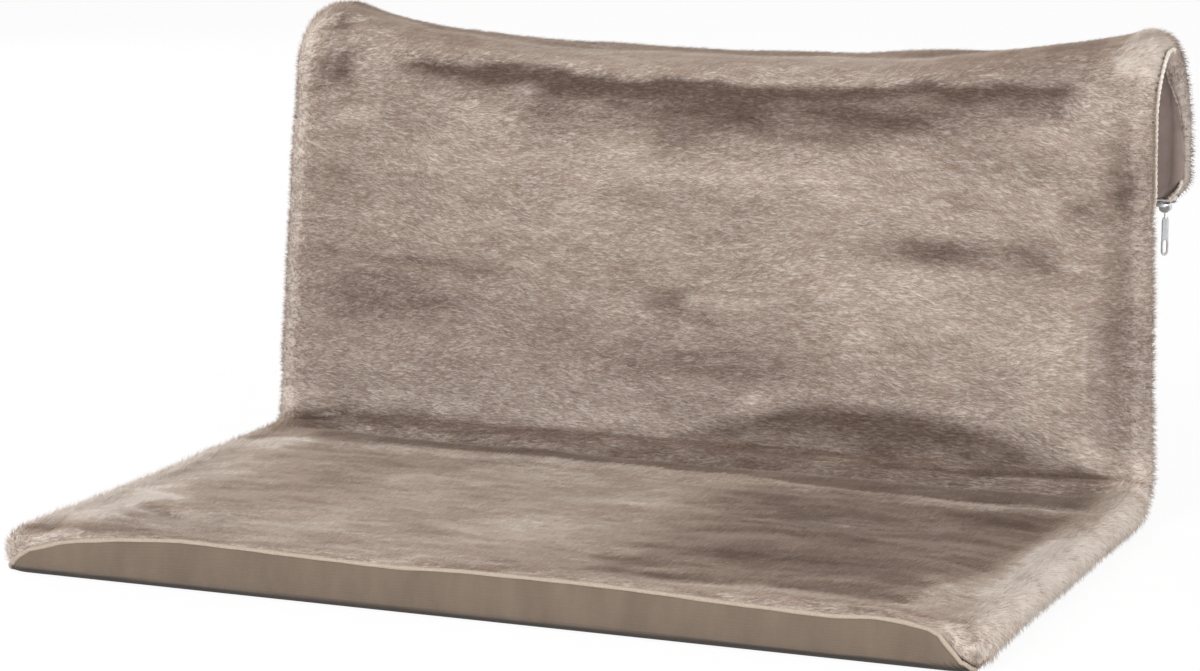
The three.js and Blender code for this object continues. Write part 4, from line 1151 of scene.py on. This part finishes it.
# The pull is a flat tab on an eye, with a raised rim, a shallow hollow above and a long hole below
pull_long, pull_half, pull_thick, pull_rim = 0.023, 0.0022, 0.0010, 0.0008
pull_turn = math.radians(34)  # how far the tab is twisted from its eye
tab_top, tab_neck = -0.0036, 0.0030
hole_low, hole_high = -pull_long + 0.0014, -pull_long + 0.0078
eye_wide, eye_tall, eye_wire, neck_low = 0.00110, 0.00125, 0.00045, -0.0048
levels = [*np.linspace(0.00002, 0.002, 8), *np.linspace(0.0024, pull_long - 0.0040, 40)]
levels = np.array(levels) - pull_long


def pull_at(a, b, c):
    turn = pull_turn * past(-b, 0.001, 0.004)
    x, y = a * math.sin(turn) + c * math.cos(turn), a * math.cos(turn) - c * math.sin(turn)
    return (pin_x + x, foot_y + y, pin_z + b)


def tab_row(b):
    """Half the tab's width at a height, and half the hole's."""
    end = max(0.0, 1 - (b + pull_long) / pull_half)
    neck = max(0.0, 1 - (tab_top - b) / tab_neck)
    wide = pull_half * math.sqrt(max(0.0, 1 - end * end)) * (1 - 0.25 * smooth(neck))
    t = abs(b - (hole_low + hole_high) / 2) / ((hole_high - hole_low) / 2)
    hole = (pull_half - pull_rim - 0.0001) * math.sqrt(1 - t**4) if t < 1 else 0.0
    return wide, min(hole, wide * 0.55)


def tab_mesh():
    """A thin tab: on each side of its middle, a strip from the hole to the rim, round at its edges."""
    build = bmesh.new()
    for side in (-1, 1):
        loops = []
        for b in levels:
            wide, hole = tab_row(b)
            ring = []
            for share in np.linspace(0, 1, 7):
                a = hole + (wide - hole) * share
                edge = min(share, 1 - share) if hole > 0 else 1 - share
                depth = 0.5 * pull_thick * math.sqrt(max(0.0, 1 - max(0.0, 1 - edge / 0.25) ** 2))
                hollow = 0.00018 * float(before(a / pull_half, 0.62, 0.2)) if hole == 0 else 0.0
                ring.append((side * a, b, depth - hollow))
            ring += [(a, b, -c) for a, b, c in ring[::-1]]
            loops.append([build.verts.new(pull_at(*point)) for point in ring])
        for low, high in zip(loops, loops[1:]):
            for k in range(len(low)):
                m = (k + 1) % len(low)
                build.faces.new((low[k], low[m], high[m], high[k]))
        build.faces.new(loops[0])
        build.faces.new(loops[-1][::-1])
    bmesh.ops.remove_doubles(build, verts=build.verts, dist=0.000012)
    bmesh.ops.recalc_face_normals(build, faces=build.faces)
    return built("pull_tab", build)


tab = tab_mesh()
eye_line = np.array([pull_at(0.0, 0.0, 0.0)]) + np.stack(
    [eye_wide * np.cos(turns), np.zeros_like(turns), -0.0002 + eye_tall * np.sin(turns)], axis=-1
)
eye = cord_mesh("pull_eye", eye_line, eye_wire, 10, closed=True)
neck_line = np.array([pull_at(0.0, b, 0.0) for b in np.linspace(-0.0016, neck_low, 8)])
neck = cord_mesh("pull_neck", neck_line, np.linspace(0.00062, 0.00078, 8), 12)
plated = grained("nickel_plate", (0.80, 0.80, 0.81), 0.36, 0.75, 1200, 3,
                 (0.72, 0.72, 0.73), (0.86, 0.86, 0.87), 0.00003)
duller = grained("nickel_tab", (0.50, 0.50, 0.51), 0.5, 0.35, 900, 3, (0.44, 0.44, 0.45), (0.54, 0.54, 0.55))
plastic = grained("coil_plastic", (0.25, 0.19, 0.145), 0.45, 0.0, 2500, 2,
                  (0.22, 0.168, 0.128), (0.28, 0.215, 0.165))
twill, tree, shader = finish("zip_twill", (0.66, 0.61, 0.55), 0.85)
pattern = add(tree, "UVMap", {}, uv_map="cloth_metres")
ribs = {"Vector": pattern["UV"], "Scale": 420, "Distortion": 0.5}
ribs = add(tree, "TexWave", ribs, bands_direction="DIAGONAL")
add_tones(tree, shader, ribs["Fac"], (0.58, 0.53, 0.47), (0.74, 0.69, 0.63))
add_bump(tree, shader, ribs["Fac"], 0.00012)
finishes = {"nickel": plated, "zip_plastic": plastic, "zip_tape": twill}
for piece, node, slot in zip_pieces:
    piece.data.materials.append(finishes[slot])
    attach(piece, "hammock")
    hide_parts(node)
for piece, body in ((slider, "slider"), (tab, "pull"), (eye, "pull"), (neck, "pull")):
    piece.data.materials.append(duller if piece is tab else plated)
    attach(piece, body)
    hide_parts(f"zip_{body}")

for piece in (plush, *piles):
    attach(piece, "hammock")
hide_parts("seat_plush_panel", "back_plush_panel", "hook_plush_panel")
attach(lining, "hammock")
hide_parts("seat_lining_panel", "back_lining_panel", "hook_lining_panel")
